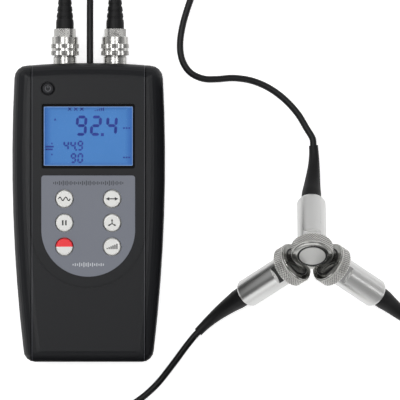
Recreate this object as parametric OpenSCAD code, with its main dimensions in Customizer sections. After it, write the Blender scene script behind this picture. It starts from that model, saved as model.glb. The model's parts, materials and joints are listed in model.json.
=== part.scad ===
// Handheld three-axis vibration meter with its sensor head: three accelerometers with magnetic
// bases, held together at right angles, each on its own lead.
// Frame: origin at the centre of the meter's back face, +X right, +Y towards the socket end,
// +Z out of the display. The meter lies on its back and the sensor head lies beside it.

/* [Housing] */
// Widest width of the housing
body_w = 78.6; // [74:0.2:88]
// Height of the housing, from the foot to the crown of the socket end
body_h = 154; // [150:0.5:170]
// Depth of the housing from back to front
body_d = 36; // [35:0.5:42]
// Wall thickness of both shells
wall = 2.2; // [1.8:0.1:2.4]
// Radius of the long bowed sides
side_bow_r = 836; // [600:2:1200]
// Radius of the arched socket end
top_bow_r = 390; // [300:2:800]
// Height above the centre at which the housing is widest
wide_y = 27; // [15:0.5:35]
// Corner radius at the socket end
top_corner_r = 6.5; // [5:0.1:9]
// Corner radius at the foot
foot_corner_r = 6; // [4:0.1:9]
// Width of the rounded shoulder along the sides
shoulder_w = 8.8; // [7:0.1:10]
// Width of the shoulder at the socket end
shoulder_top = 7.6; // [6:0.1:9]
// Width of the shoulder at the foot
shoulder_foot = 5.8; // [4:0.1:8]
// Depth of the rounded shoulder
shoulder_d = 8; // [6:0.1:9]
// Radius of the edge round the back
back_edge_r = 5; // [4:0.1:6]
// Height of the parting line above the back
split_z = 17; // [16.5:0.1:19]

/* [Panel and label] */
// Half width of the raised panel
panel_half_w = 29; // [27:0.1:30]
// Width of the groove round the panel
groove_w = 0.7; // [0.4:0.1:1]
// Depth of the groove round the panel
groove_d = 0.5; // [0.3:0.1:0.9]
// Height of the panel's semicircle centre
panel_arc_y = -9.2; // [-12:0.1:-6]
// Half width of the label
label_half_w = 24.2; // [23:0.1:26]
// Height of the label's top edge
label_top_y = 19.1; // [18.5:0.1:19.5]
// Height of the label's semicircle centre
label_arc_y = -8.9; // [-12:0.1:-6]
// Thickness of the label
label_t = 0.35; // [0.2:0.05:0.5]

/* [Display] */
// Width of the window opening
window_w = 47.9; // [44:0.1:50]
// Height of the window opening
window_h = 33.3; // [30:0.1:34]
// Height of the window's centre
window_y = 39.2; // [38.5:0.1:41]
// Depth of the window below the face
window_sink = 0.9; // [0.4:0.1:1.2]
// Thickness of the window's flange
window_flange_t = 1; // [0.8:0.1:1.2]
// Thickness of the display glass
lcd_t = 2.6; // [2:0.1:2.8]
// Thickness of the backlight
backlight_t = 3.4; // [3:0.1:3.6]

/* [Keys] */
// Radius of a key cap
key_r = 4.3; // [4:0.1:4.6]
// Distance of each column of keys from the middle
key_x = 12.25; // [11:0.05:13]
// Height of the top row of keys
key_top_y = 7; // [6:0.1:8]
// Distance between rows of keys
key_pitch = 12.3; // [12:0.1:13]
// Gap between a key and its hole
key_ring = 0.5; // [0.3:0.05:0.6]
// Height of a key cap above the face
key_rise = 0.9; // [0.6:0.1:1.4]
// Travel of each key
key_travel = 0.6; // [0.4:0.05:0.8]
// Radius of the power key
power_r = 3; // [2.5:0.1:3.2]
// Distance of the power key from the middle
power_x = 20.7; // [20:0.1:21.6]
// Height of the power key
power_y = 63.6; // [63:0.1:65]
// Gap between the power key and its hole
power_ring = 0.7; // [0.3:0.05:0.8]

/* [Battery bay] */
// Diameter of a cell
cell_d = 10.5; // [10:0.1:10.8]
// Length of a cell without its stud
cell_l = 43.3; // [42:0.1:44.5]
// Width of the battery door without its tongues
door_w = 50; // [49.5:0.1:51]
// Thickness of the battery door
door_t = 2; // [1.6:0.1:2.4]
// Height of the door's upper edge
door_top_y = -12; // [-13:0.1:-10]
// Sliding clearance of the door
door_gap = 0.2; // [0.1:0.05:0.3]
// How far the door slides before its tabs come out of their slots
door_travel = 8; // [7.5:0.1:9]
// Width of the tabs along the sides of the door
tab_w = 1.2; // [0.8:0.1:1.4]

/* [Sockets and plugs] */
// Distance between the two sockets
socket_pitch = 26; // [25:0.1:28]
// Shift of the row of connectors from the middle
socket_shift = 0.5; // [-1:0.1:1]
// Radius of a socket's barrel
barrel_r = 4.8; // [4.7:0.05:4.85]
// Radius of a coupling nut's skirt
skirt_r = 6; // [5.9:0.05:6.3]
// Radius of a coupling nut's grip
grip_r = 7.2; // [6.9:0.05:7.6]
// Length of a coupling nut's grip
grip_l = 10.4; // [9.5:0.1:11]
// Length of a plug's rubber boot
plug_boot_l = 23; // [18:0.5:26]

/* [Sensor head] */
// Length of a sensor's metal parts from the magnet face to the boot
sensor_l = 36.5; // [34:0.1:40]
// Radius of a sensor's case
case_r = 7.5; // [7.2:0.05:8]
// Distance across the wrench flats
flats = 12; // [11.4:0.1:12.6]
// Length of the wrench flats
flats_l = 4.7; // [4:0.1:5.2]
// Radius of a magnetic base
base_r = 10.85; // [10.4:0.05:11.4]
// Length of a magnetic base
base_l = 7.1; // [6.6:0.1:7.4]
// Height of the magnet face over the knurled rim
face_rise = 0.8; // [0.5:0.1:1]
// Radius of the pole disc
pole_r = 6.75; // [6:0.05:7]
// Width of the sealing ring round the pole disc
seal_w = 1; // [0.5:0.05:1.1]
// Elevation of the top sensor's axis above the table
head_tilt = 41.3; // [40:0.1:43]
// Height of the top sensor's magnet face above the table
head_z = 39.6; // [39:0.1:41]
// How far the lower sensors sit behind the top sensor's face
cling_l = 3; // [2:0.1:4]
// Radius of a sensor boot at the case
boot_r = 5.2; // [4.8:0.05:5.5]
// Radius of a sensor boot at the lead
boot_tip_r = 2.4; // [2.2:0.05:2.6]

/* [Leads] */
// Diameter of each lead
lead_d = 3.5; // [3.2:0.1:3.6]
// Radius of a coil's outer turn
coil_r = 25; // [24.8:0.05:25.2]
// Distance between turns and between layers of a coil
coil_pitch = 4; // [4:0.05:4.2]

/* [Hidden] */

// Overrun of every cut, and the clearance between seated pieces
over = 1;
seat_gap = 0.1;

// Smoothness of round forms, and of the housing's corners, sides and shoulder
$fn = 64;
arc_steps = 4;
side_steps = 8;
shoulder_steps = 8;

// Colours as the object shows them
shell_grey = "#2d2e32";
label_grey = "#70757f";
cap_white = "#e8e8e6";
cap_red = "#e6303a";
rubber_black = "#16171a";
nickel = "#c9cac9";
steel = "#b4b5b2";

// Housing
inner_z = body_d - wall;
foot_y = -body_h / 2;
crown_y = body_h / 2;
corner_min_r = 1.2;
lip_w = 0.9;
lip_h = 1.6;
lip_gap = 0.1;
boss_r = 3.2;
pillar_r = 3.7;
boss_x = 31.5;
boss_top_y = 64;
boss_low_y = -40;
boss_z = body_d - shoulder_d / 2;
screw_r = 1.45;
screw_l = 24;
screw_head_r = 2.8;
screw_head_t = 2;
screw_sink = 3;
screw_gap = 0.2;
boss_places = [[boss_x, boss_top_y], [-boss_x, boss_top_y], [boss_x, boss_low_y], [-boss_x, boss_low_y]];

// Display stack, from the window down to the board
window_corner_r = 1.2;
window_lap = 1.6;
window_gap = 0.1;
window_flange_z = inner_z - seat_gap - window_flange_t;
lcd_z = window_flange_z - seat_gap - lcd_t;
backlight_z = lcd_z - seat_gap - backlight_t;
board_t = 1.6;
board_top_z = backlight_z - seat_gap;
board_z = board_top_z - board_t;
board_half_w = 27.4;
board_edge = 6.4;
board_top_y = power_y + board_edge;
board_low_y = -52;
post_r = 2.2;
post_pilot_r = 0.9;
post_places = [[8, 65.5], [24.3, 16.4], [-24.3, 16.4], [0, -46]];
board_screw_r = 0.95;
board_screw_l = 6;
board_screw_head_r = 1.9;
board_screw_head_t = 1.2;

// Parts on the back of the board
can_size = [24, 18, 4.5];
chip_size = [12, 12, 1.6];
chip_pitch = 16;
chip_y = 4;
can_y = 36;
capacitor_r = 2.5;
capacitor_l = 5.5;
capacitor_pitch = 8;
capacitor_y = -20;
crystal_size = [11, 4.5, 3.5];
crystal_y = -32;

// Label and keys
label_corner_r = 1.5;
label_gap = 0.12;
label_rest = 0.05;
label_sink = label_t + label_rest;
key_edge_r = 0.7;
key_flange_w = 1.1;
key_flange_t = 0.8;
key_gap = 0.2;
key_stem_r = 2.2;
mat_t = 1;
mat_wall = 1.3;
mat_well_gap = 0.5;
mat_edge = 7.5;
power_stem_r = 1.4;
power_mat_half = 5;
power_rise = 0.1;
key_places = [for (row = [0:2]) for (side = [-1, 1]) [side * key_x, key_top_y - row * key_pitch]];

// Battery bay: four cells side by side over the sliding door
cell_count = 4;
cell_gap = 0.6;
cell_stud_r = 1.9;
cell_stud_l = 1;
contact_t = 0.4;
contact_w = 8;
spring_r = 3.2;
spring_tip_r = 2;
spring_l = 3;
spring_start_share = 0.5;
bay_wall = 1.5;
bay_half_w = cell_count * (cell_d + cell_gap) / 2;
bay_z = door_t + 2 * door_gap;
bay_roof_z = bay_z + cell_d + 2 * cell_gap;
bay_l = cell_l + cell_stud_l + spring_l + 2 * contact_t + 4 * seat_gap;
bay_inset = 3;
bay_top_y = door_top_y - bay_inset;
bay_low_y = bay_top_y - bay_l;
rail_t = 1.2;
rail_w = 3;
tab_t = door_t / 2;
tab_l = 6;
tab_pitch = 18;
tab_count = 3;
tab_inset = 5;
tab_lows = [for (i = [0:tab_count - 1]) door_top_y - tab_inset - tab_l - i * tab_pitch];
grip_rib_w = 1;
grip_rib_pitch = 2.2;
grip_rib_d = 0.5;
grip_rib_l = 18;
grip_rib_count = 6;
grip_rib_inset = 8;
grip_rib_y = door_top_y - grip_rib_inset;

// Sockets, measured along their axis from the seat on the housing's end
socket_z = body_d / 2;
spot_d = 0.5;
seat_y = crown_y - spot_d;
flange_t = 1.3;
barrel_l = 11.3;
barrel_bore_r = 4.15;
bore_start = 2.2;
bayonet_r = 1;
bayonet_reach = 0.7;
bayonet_at = 9;
thread_r = 4.7;
thread_l = 9;
hole_gap = 0.2;
insulator_r = 2.2;
insulator_l = 4;
contact_bore_r = 0.75;
hex_r = 6.9;
hex_t = 2.6;
hex_seat = 0.8;
hex_at = wall + hex_seat;

// Plugs, measured from the same seat
nut_start = flange_t + seat_gap;
skirt_l = 2.6;
nut_gap = 0.2;
nut_bore_r = barrel_r + nut_gap;
bayonet_track_r = barrel_r + bayonet_reach + seat_gap;
grip_start = nut_start + skirt_l;
nut_end = grip_start + grip_l;
skirt_edge = 0.4;
waist_l = 0.7;
waist_in = 0.4;
ring_l = 2.2;
ring_gap_l = 1.4;
ring_rise = 0.4;
ring_starts = [grip_start + waist_l, grip_start + waist_l + ring_l + ring_gap_l];
tooth_count = 40;
tooth_d = 0.25;
grip_edge = 0.4;
collar_gap = 0.15;
collar_at = barrel_l + collar_gap;
collar_t = 0.6;
neck_gap = 0.05;
collar_r = nut_bore_r - neck_gap;
nut_wall_at = collar_at + collar_t + seat_gap / 2;
sleeve_r = barrel_bore_r - seat_gap;
sleeve_bore_r = 3.4;
sleeve_gap = 0.3;
sleeve_start = bore_start + sleeve_gap;
neck_r = 4.3;
clamp_r = 5.6;
clamp_l = 4;
ferrule_r = 3.3;
ferrule_l = 7;
boot_start = nut_end + clamp_l + seat_gap;
plug_boot_r = 4.6;
plug_tip_r = 2.5;
plug_boot_collar_l = 3;
boot_rib_count = 5;
boot_rib_w = 1.1;
boot_rib_d = 0.35;
plug_end = boot_start + plug_boot_l;
pin_r = 0.65;
pin_reach = 1.5;
pin_start = bore_start + insulator_l - pin_reach;
plug_insulator_r = 2.9;
plug_insulator_l = 3;
grommet_r = 3;
grommet_flange_r = 4.4;
grommet_flange_t = 1.6;
socket_xs = [socket_shift - socket_pitch / 2, socket_shift + socket_pitch / 2];

// Sensors: each lies along its own +Z with the magnet face at zero
face_inset = 0.6;
face_r = base_r - face_inset;
base_edge = 0.8;
cup_depth = 4.6;
magnet_t = 3.1;
pole_t = 1.3;
seal_sink = 0.15;
stud_r = 2.4;
stud_hole_gap = 0.05;
stud_in_case = 4.6;
case_front_t = 5.4;
case_bore_r = 5.6;
case_rear_t = 3.5;
case_end_in = 0.6;
case_end_l = 1;
case_plug_r = 3.3;
flats_gap = 0.5;
flats_at = base_l + flats_gap;
post_in_r = 1.4;
post_in_l = 8;
piezo_r = 4.4;
piezo_t = 2;
mass_r = 5;
mass_t = 5;
ring_gap = 0.1;
boot_plug_l = 3;
boot_sides = 12;
boot_steps = 8;
boot_arm_share = 0.36;

// Thickness of a boot over its tip, against its length from the case
boot_shape_shares = [[0, 1], [0.17, 0.97], [0.29, 0.76], [0.5, 0.47], [0.7, 0.21], [0.9, 0.02], [1, 0]];

// Directions of the three sensors, square to each other and seen along their corner
top_up = sin(head_tilt);
side_up = sqrt((1 - top_up * top_up) / 2);
side_out = sqrt(1 / 2 - side_up * side_up);
top_dir = [0, -cos(head_tilt), top_up];
left_dir = [sqrt(1 / 2), side_out, side_up];
right_dir = [-sqrt(1 / 2), side_out, side_up];
top_face = [115, -22.4, head_z];
left_face = top_face - cling_l * top_dir - (base_r + seat_gap) * left_dir;
right_face = top_face - cling_l * top_dir - (base_r + seat_gap) * right_dir;

// Where each boot ends on the table, and which way the lead leaves it
top_boot_end = [116.4, 34.8];
left_boot_end = [56.4, -62.4];
right_boot_end = [174, -61];
top_boot_heading = 96;
left_boot_heading = 227;
right_boot_heading = -30;

// Coils: two layers of turns each, wound in and out again on the table
tie_t = 0.8;
tie_w = 8;
tie_angle = 90;
coil_z = tie_t + seat_gap + lead_d / 2;
coil_steps = 24;
coil_sides = 6;
lead_sides = 8;
left_coil_turns = 4.5;
top_coil_turns = 4.5;
right_coil_turns = 4;
left_coil_at = [-38, 165];
top_coil_at = [38.5, 165];
right_coil_at = [103, 165];
left_coil_start = 0;
top_coil_start = 180;
right_coil_start = 180;

// Routes of the free stretches of the leads; each lead's ends follow the pieces that it meets
left_plug_route = [
    [-12.5, 123, 17.8], [-12.6, 130, 15.6], [-12.8, 137, 11.2], [-13, 144, 6.4], [-13, 151, 3.4]];
left_sensor_route = [
    [-62.5, 149, 4.9], [-61, 140, 2.6], [-58, 129, 1.8],
    [-54.5, 115, 1.75], [-52.5, 98, 1.75], [-52, 78, 1.75], [-52, 50, 1.75], [-52, 20, 1.75],
    [-52, -10, 1.75], [-52, -40, 1.75], [-52, -66, 1.75], [-52, -84, 1.75], [-51, -95, 1.75],
    [-46.5, -102.5, 1.75], [-38, -106, 1.75], [-26, -107, 1.75], [-12, -107, 1.75], [2, -106.5, 1.75],
    [14, -104, 1.75], [24.5, -98.5, 1.75], [34.5, -90, 1.75], [43, -79.5, 1.75],
    [49.5, -70.7, 2.1]];
top_plug_route = [
    [13.5, 123, 17.8], [13.5, 130, 15.6], [13.5, 137, 11.2], [13.5, 144, 6.4], [13.5, 151, 3.4]];
top_sensor_route = [
    [63, 149, 4.9], [61.5, 140, 2.6], [59, 130, 1.8],
    [55.5, 119, 1.75], [51.5, 108, 1.75], [48.3, 97, 1.75], [47, 87, 1.75], [48.2, 79, 1.75],
    [52.3, 72.8, 1.75], [59, 69.6, 1.75], [66, 69.3, 1.75], [74.5, 69.9, 1.75], [84, 68.6, 1.75],
    [93, 64.9, 1.75], [101.2, 59, 1.75], [108.2, 51.4, 1.75], [113, 43.5, 2.1]];
right_meter_route = [
    [0.5, 84, 18], [0.5, 92, 17.9], [0.5, 102, 17.4], [0.5, 112, 15.8],
    [0.5, 122, 12.8], [0.5, 132, 8.8], [0.5, 142, 4.8], [0.5, 152, 2.4], [0.5, 164, 1.75],
    [0.7, 176, 1.75], [3, 187, 1.75], [9, 194.5, 1.75], [18, 197.6, 1.75], [32, 198, 1.75],
    [46, 198, 1.75], [58, 197.3, 1.75], [67.5, 193.5, 1.8], [74, 186.5, 2.1],
    [77.2, 178, 2.5]];
right_sensor_route = [
    [79, 149, 5], [83, 140, 3], [91, 131, 1.9],
    [103, 124.5, 1.75], [120, 121, 1.75], [140, 119, 1.75], [158, 116.5, 1.75], [172, 111, 1.75],
    [182, 101.5, 1.75], [188, 88, 1.75], [190.5, 70, 1.75], [191, 44, 1.75], [191, 16, 1.75],
    [191, -12, 1.75], [191, -36, 1.75], [190.5, -50, 1.75], [188, -58.5, 1.9], [182.5, -63, 2.2]];

// Half width of the housing's bowed side, and height of its arched end
function half_w(y) = body_w / 2 - side_bow_r + sqrt(pow(side_bow_r, 2) - pow(y - wide_y, 2));
function end_y(x) = crown_y - top_bow_r + sqrt(pow(top_bow_r, 2) - x * x);

// Right half of the housing's outline, drawn in from the side, the socket end and the foot
function right_outline(side_in, top_in, foot_in) =
    let (
        top_y = end_y(body_w / 2 - top_corner_r) - top_corner_r,
        low_y = foot_y + foot_corner_r,
        top_r = max(top_corner_r - side_in, corner_min_r),
        low_r = max(foot_corner_r - side_in, corner_min_r),
        top_x = half_w(top_y) - side_in - top_r,
        low_x = half_w(low_y) - side_in - low_r,
        top_centre = end_y(top_x) - top_in - top_r,
        low_centre = foot_y + foot_in + low_r)
    concat(
        [for (i = [0:arc_steps]) let (a = -90 + 90 * i / arc_steps)
            [low_x + low_r * cos(a), low_centre + low_r * sin(a)]],
        [for (i = [1:side_steps - 1]) let (y = low_centre + (top_centre - low_centre) * i / side_steps)
            [half_w(y) - side_in, y]],
        [for (i = [0:arc_steps]) let (a = 90 * i / arc_steps)
            [top_x + top_r * cos(a), top_centre + top_r * sin(a)]],
        [for (i = [1:arc_steps]) let (x = top_x * (1 - i / arc_steps))
            [x, end_y(x) - top_in]]);

function outline(side_in, top_in, foot_in) =
    let (half = right_outline(side_in, top_in, foot_in), n = len(half))
    concat(half, [for (i = [n - 2:-1:0]) [-half[i][0], half[i][1]]]);

// One outline of the housing, lifted to its height
function level(z, side_in, top_in, foot_in) = [for (p = outline(side_in, top_in, foot_in)) [p[0], p[1], z]];

// A closed solid through a stack of outlines that have the same number of points
module loft(rings) {
    n = len(rings[0]);
    last = (len(rings) - 1) * n;
    bottom = [for (k = [1:n - 2]) [0, k, k + 1]];
    top = [for (k = [1:n - 2]) [last, last + k + 1, last + k]];
    walls = [for (i = [0:len(rings) - 2]) for (k = [0:n - 1])
        let (
            a = i * n + k,
            b = i * n + (k + 1) % n)
        each [[a, a + n, b], [b, a + n, b + n]]];
    polyhedron(points = [for (r = rings) each r], faces = concat(bottom, top, walls), convexity = 10);
}

// The housing's whole form, drawn in by s all round: a rounded back, plain sides, a soft shoulder
module housing_form(s) {
    back = [for (i = [0:arc_steps])
        let (
            a = 90 * i / arc_steps,
            in = back_edge_r - (back_edge_r - s) * sin(a))
        level(back_edge_r - (back_edge_r - s) * cos(a), in, in, in)];
    front = [for (i = [0:shoulder_steps])
        let (a = 90 * i / shoulder_steps)
        level(body_d - shoulder_d + (shoulder_d - s) * sin(a),
            shoulder_w - (shoulder_w - s) * cos(a),
            shoulder_top - (shoulder_top - s) * cos(a),
            shoulder_foot - (shoulder_foot - s) * cos(a))];
    loft(concat(back, front));
}

// The straight band of the outline, used by the lip at the parting line
module outline_band(s, z, h) {
    translate([0, 0, z])
        linear_extrude(h)
            polygon(outline(s, s, s));
}

module rounded_rect(w, h, r) {
    square([w - 2 * r, h], center = true);
    square([w, h - 2 * r], center = true);
    for (sx = [-1, 1]) {
        for (sy = [-1, 1]) {
            translate([sx * (w / 2 - r), sy * (h / 2 - r)])
                circle(r);
        }
    }
}

// A shield outline: straight sides from a square top down to a semicircle
module shield(half, arc_y, top_y) {
    translate([0, arc_y])
        circle(half);
    translate([-half, arc_y])
        square([2 * half, top_y - arc_y]);
}

// The label's outline, with small corners at the top
module label_shape(gap) {
    half = label_half_w - gap;
    top = label_top_y - gap;
    shield(half, label_arc_y, top - label_corner_r);
    translate([-half + label_corner_r, label_arc_y])
        square([2 * (half - label_corner_r), top - label_arc_y]);
    for (side = [-1, 1]) {
        translate([side * (half - label_corner_r), top - label_corner_r])
            circle(label_corner_r);
    }
}

// A round hole or solid along +Y, at a place on the socket end
module along_y(x, y) {
    translate([x, y, socket_z])
        rotate([-90, 0, 0])
            children();
}

module at_places(places, z) {
    for (p = places) {
        translate([p[0], p[1], z])
            children();
    }
}

// Holes for the sockets and the grommet through the socket end, in both shells
module end_holes() {
    for (x = socket_xs) {
        along_y(x, crown_y - wall - over) {
            cylinder(h = wall + 2 * over, r = thread_r + hole_gap);
            translate([0, 0, wall + over - spot_d])
                cylinder(h = spot_d + over, r = skirt_r + hole_gap);
        }
    }
    along_y(socket_shift, crown_y - wall - over)
        cylinder(h = wall + 2 * over, r = grommet_r + hole_gap / 2);
}

// Front half of the housing with its panel groove, window, label recess, key holes and bosses
module front_shell() {
    color(shell_grey)
    difference() {
        union() {
            difference() {
                housing_form(0);
                housing_form(wall);
                translate([-body_w, -body_h, -over])
                    cube([2 * body_w, 2 * body_h, split_z + over]);
            }
            at_places(boss_places, split_z)
                cylinder(h = boss_z - split_z, r = boss_r);
            at_places(post_places, board_top_z + seat_gap)
                cylinder(h = inner_z - board_top_z, r = post_r);
        }
        outline_band(wall - lip_w - lip_gap, split_z - over, over + lip_h + lip_gap);
        translate([0, window_y, inner_z - over])
            linear_extrude(wall + 2 * over)
                rounded_rect(window_w, window_h, window_corner_r);
        translate([0, 0, body_d - label_sink])
            linear_extrude(over)
                label_shape(0);
        at_places(key_places, inner_z - over)
            cylinder(h = wall + 2 * over, r = key_r + key_ring);
        translate([-power_x, power_y, inner_z - over])
            cylinder(h = wall + 2 * over, r = power_r + power_ring);
        difference() {
            translate([0, 0, split_z + shoulder_d])
                linear_extrude(body_d)
                    difference() {
                        shield(panel_half_w + groove_w, panel_arc_y, body_h);
                        shield(panel_half_w, panel_arc_y, body_h + over);
                    }
            housing_form(groove_d);
        }
        at_places(boss_places, split_z - over)
            cylinder(h = screw_sink - screw_head_t + screw_l - split_z + 2 * over, r = screw_r - screw_gap / 2);
        at_places(post_places, board_top_z - over)
            cylinder(h = board_screw_l + over, r = post_pilot_r);
        end_holes();
    }
}

// Back half of the housing with the battery bay, the door's runway and the screw pillars
module rear_shell() {
    color(shell_grey)
    difference() {
        union() {
            difference() {
                housing_form(0);
                housing_form(wall);
                translate([-body_w, -body_h, split_z])
                    cube([2 * body_w, 2 * body_h, body_d]);
            }
            difference() {
                outline_band(wall - lip_w, split_z - lip_h, 2 * lip_h);
                outline_band(wall, split_z - lip_h - over, 2 * lip_h + 2 * over);
            }
            at_places(boss_places, wall / 2)
                cylinder(h = split_z + lip_h + lip_gap - seat_gap - wall / 2, r = pillar_r);
            bay_walls();
        }
        bay_hollow();
        door_runway();
        at_places(boss_places, -over) {
            cylinder(h = split_z + lip_h + 2 * over, r = screw_r + screw_gap);
            cylinder(h = screw_sink + over, r = screw_head_r + screw_gap);
        }
        end_holes();
    }
}

// Outer block of the battery bay, from the runway up to the roof
module bay_walls() {
    translate([-bay_half_w - bay_wall, bay_low_y - bay_wall, wall / 2])
        cube([2 * (bay_half_w + bay_wall), bay_l + 2 * bay_wall, bay_roof_z + bay_wall - wall / 2]);
    rail_half = door_w / 2 + tab_w + door_gap + rail_w / 2;
    translate([-rail_half, foot_y + wall, wall / 2])
        cube([2 * rail_half, door_top_y + rail_w - foot_y - wall, bay_z + rail_t - wall / 2]);
}

module bay_hollow() {
    translate([-bay_half_w, bay_low_y, -over])
        cube([2 * bay_half_w, bay_l, bay_roof_z + over]);
}

// Runway of the door: open at the foot, with a slot for each tab and a notch where the tab drops out
module door_runway() {
    half = door_w / 2 + door_gap;
    run_l = door_top_y + door_gap - foot_y + over;
    slot_z = door_t - tab_t - door_gap;
    translate([-half, foot_y - over, -over])
        cube([2 * half, run_l, bay_z + over]);
    for (low = tab_lows) {
        translate([-half - tab_w, low - door_travel - door_gap, slot_z])
            cube([2 * (half + tab_w), tab_l + door_travel + 2 * door_gap, bay_z - slot_z]);
        translate([-half - tab_w, low - door_travel - door_gap, -over])
            cube([2 * (half + tab_w), tab_l + 2 * door_gap, bay_z + over]);
    }
}

// Sliding door with three tabs along each side and ribs for the thumb
module battery_door() {
    half = door_w / 2;
    color(shell_grey)
    difference() {
        union() {
            intersection() {
                housing_form(0);
                translate([-half, foot_y - over, 0])
                    cube([2 * half, door_top_y - foot_y + over, door_t]);
            }
            for (low = tab_lows) {
                translate([-half - tab_w, low, door_t - tab_t])
                    cube([2 * (half + tab_w), tab_l, tab_t]);
            }
        }
        for (i = [0:grip_rib_count - 1]) {
            translate([-grip_rib_l / 2, grip_rib_y - i * grip_rib_pitch, -over])
                cube([grip_rib_l, grip_rib_w, over + grip_rib_d]);
        }
    }
}

// Clear window: a raised pane in the opening and a flange behind the wall
module lcd_window() {
    color("lightsteelblue", 0.4)
    translate([0, window_y, window_flange_z]) {
        linear_extrude(window_flange_t)
            rounded_rect(window_w + 2 * window_lap, window_h + 2 * window_lap, window_corner_r);
        linear_extrude(body_d - window_sink - window_flange_z)
            rounded_rect(window_w - 2 * window_gap, window_h - 2 * window_gap, window_corner_r);
    }
}

module lcd_glass() {
    color("#4a8cd6")
    translate([0, window_y, lcd_z])
        linear_extrude(lcd_t)
            rounded_rect(window_w + window_lap, window_h + window_lap, window_corner_r / 2);
}

module lcd_backlight() {
    color("white")
    translate([0, window_y, backlight_z])
        linear_extrude(backlight_t)
            rounded_rect(window_w + 2 * window_lap, window_h + 2 * window_lap, window_corner_r / 2);
}

module face_label() {
    color(label_grey)
    translate([0, 0, body_d - label_sink])
        linear_extrude(label_t)
            difference() {
                label_shape(label_gap);
                for (p = key_places) {
                    translate(p)
                        circle(key_r + key_ring);
                }
            }
}

// One key: a cap with a soft edge, a flange under the face and a stem down to the mat
module key(place, r, rise, stem_r) {
    flange_z = inner_z - key_gap - key_flange_t;
    stem_z = board_top_z + seat_gap + mat_t + key_travel + key_gap;
    top_z = body_d + rise;
    translate([place[0], place[1], 0])
        rotate_extrude()
            polygon(concat(
                [[0, stem_z], [stem_r, stem_z], [stem_r, flange_z],
                 [r + key_flange_w, flange_z], [r + key_flange_w, flange_z + key_flange_t],
                 [r, flange_z + key_flange_t]],
                [for (i = [0:arc_steps]) let (a = 90 * i / arc_steps)
                    [r - key_edge_r * (1 - cos(a)), top_z - key_edge_r * (1 - sin(a))]],
                [[0, top_z]]));
}

module power_key() {
    color(shell_grey)
        key([-power_x, power_y], power_r, power_rise, power_stem_r);
}

module key_1() {
    color(cap_white)
        key(key_places[0], key_r, key_rise, key_stem_r);
}

module key_2() {
    color(cap_white)
        key(key_places[1], key_r, key_rise, key_stem_r);
}

module key_3() {
    color(cap_white)
        key(key_places[2], key_r, key_rise, key_stem_r);
}

module key_4() {
    color(cap_white)
        key(key_places[3], key_r, key_rise, key_stem_r);
}

module key_5() {
    color(cap_red)
        key(key_places[4], key_r, key_rise, key_stem_r);
}

module key_6() {
    color(cap_white)
        key(key_places[5], key_r, key_rise, key_stem_r);
}

// Silicone mat on the board, with a well round each stem
module key_mat() {
    mat_z = board_top_z + seat_gap;
    well_top = inner_z - 2 * key_gap - key_flange_t - key_travel;
    low = key_places[4][1] - mat_edge;
    well_r = key_stem_r + mat_well_gap;
    power_well_r = power_stem_r + mat_well_gap;
    color("darkgray") {
        difference() {
            union() {
                translate([-key_x - mat_edge, low, mat_z])
                    cube([2 * (key_x + mat_edge), key_top_y + mat_edge - low, mat_t]);
                at_places(key_places, mat_z)
                    cylinder(h = well_top - mat_z, r = well_r + mat_wall);
            }
            at_places(key_places, mat_z + mat_t)
                cylinder(h = body_d, r = well_r);
        }
        translate([-power_x, power_y, mat_z])
            difference() {
                union() {
                    translate([-power_mat_half, -power_mat_half, 0])
                        cube([2 * power_mat_half, 2 * power_mat_half, mat_t]);
                    cylinder(h = well_top - mat_z, r = power_well_r + mat_wall);
                }
                translate([0, 0, mat_t])
                    cylinder(h = body_d, r = power_well_r);
            }
    }
}

module main_board() {
    color("darkgreen")
    difference() {
        translate([-board_half_w, board_low_y, board_z])
            cube([2 * board_half_w, board_top_y - board_low_y, board_t]);
        at_places(post_places, board_z - over)
            cylinder(h = board_t + 2 * over, r = board_screw_r + screw_gap);
    }
}

// A shield can, three chips, three capacitors and a crystal under the board
module board_parts() {
    color("dimgray") {
        translate([-can_size[0] / 2, can_y - can_size[1] / 2, board_z - can_size[2]])
            cube(can_size);
        for (i = [-1:1]) {
            translate([i * chip_pitch - chip_size[0] / 2, chip_y - chip_size[1] / 2, board_z - chip_size[2]])
                cube(chip_size);
            translate([i * capacitor_pitch, capacitor_y, board_z - capacitor_l])
                cylinder(h = capacitor_l, r = capacitor_r);
        }
        translate([-crystal_size[0] / 2, crystal_y - crystal_size[1] / 2, board_z - crystal_size[2]])
            cube(crystal_size);
    }
}

// Place of a cell in the bay, every other one turned end for end
module in_bay(i) {
    cell_x = (i - (cell_count - 1) / 2) * (cell_d + cell_gap);
    cell_z = bay_z + cell_gap + cell_d / 2;
    translate([cell_x, bay_low_y + bay_l / 2, cell_z])
        mirror([0, i % 2, 0])
            children();
}

module battery_cells() {
    start = -bay_l / 2 + contact_t + spring_l + 2 * seat_gap;
    color("goldenrod")
    for (i = [0:cell_count - 1]) {
        in_bay(i)
            translate([0, start, 0])
                rotate([-90, 0, 0]) {
                    cylinder(h = cell_l, r = cell_d / 2);
                    cylinder(h = cell_l + cell_stud_l, r = cell_stud_r);
                }
    }
}

// A flat contact at one end of each cell and a conical spring on a plate at the other
module battery_contacts() {
    color("silver")
    for (i = [0:cell_count - 1]) {
        in_bay(i) {
            translate([-contact_w / 2, -bay_l / 2 + seat_gap / 2, -contact_w / 2])
                cube([contact_w, contact_t, contact_w]);
            translate([0, -bay_l / 2 + seat_gap / 2 + contact_t * spring_start_share, 0])
                rotate([-90, 0, 0])
                    cylinder(h = spring_l + contact_t * (1 - spring_start_share), r1 = spring_r, r2 = spring_tip_r);
            translate([-contact_w / 2, bay_l / 2 - seat_gap / 2 - contact_t, -contact_w / 2])
                cube([contact_w, contact_t, contact_w]);
        }
    }
}

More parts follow.
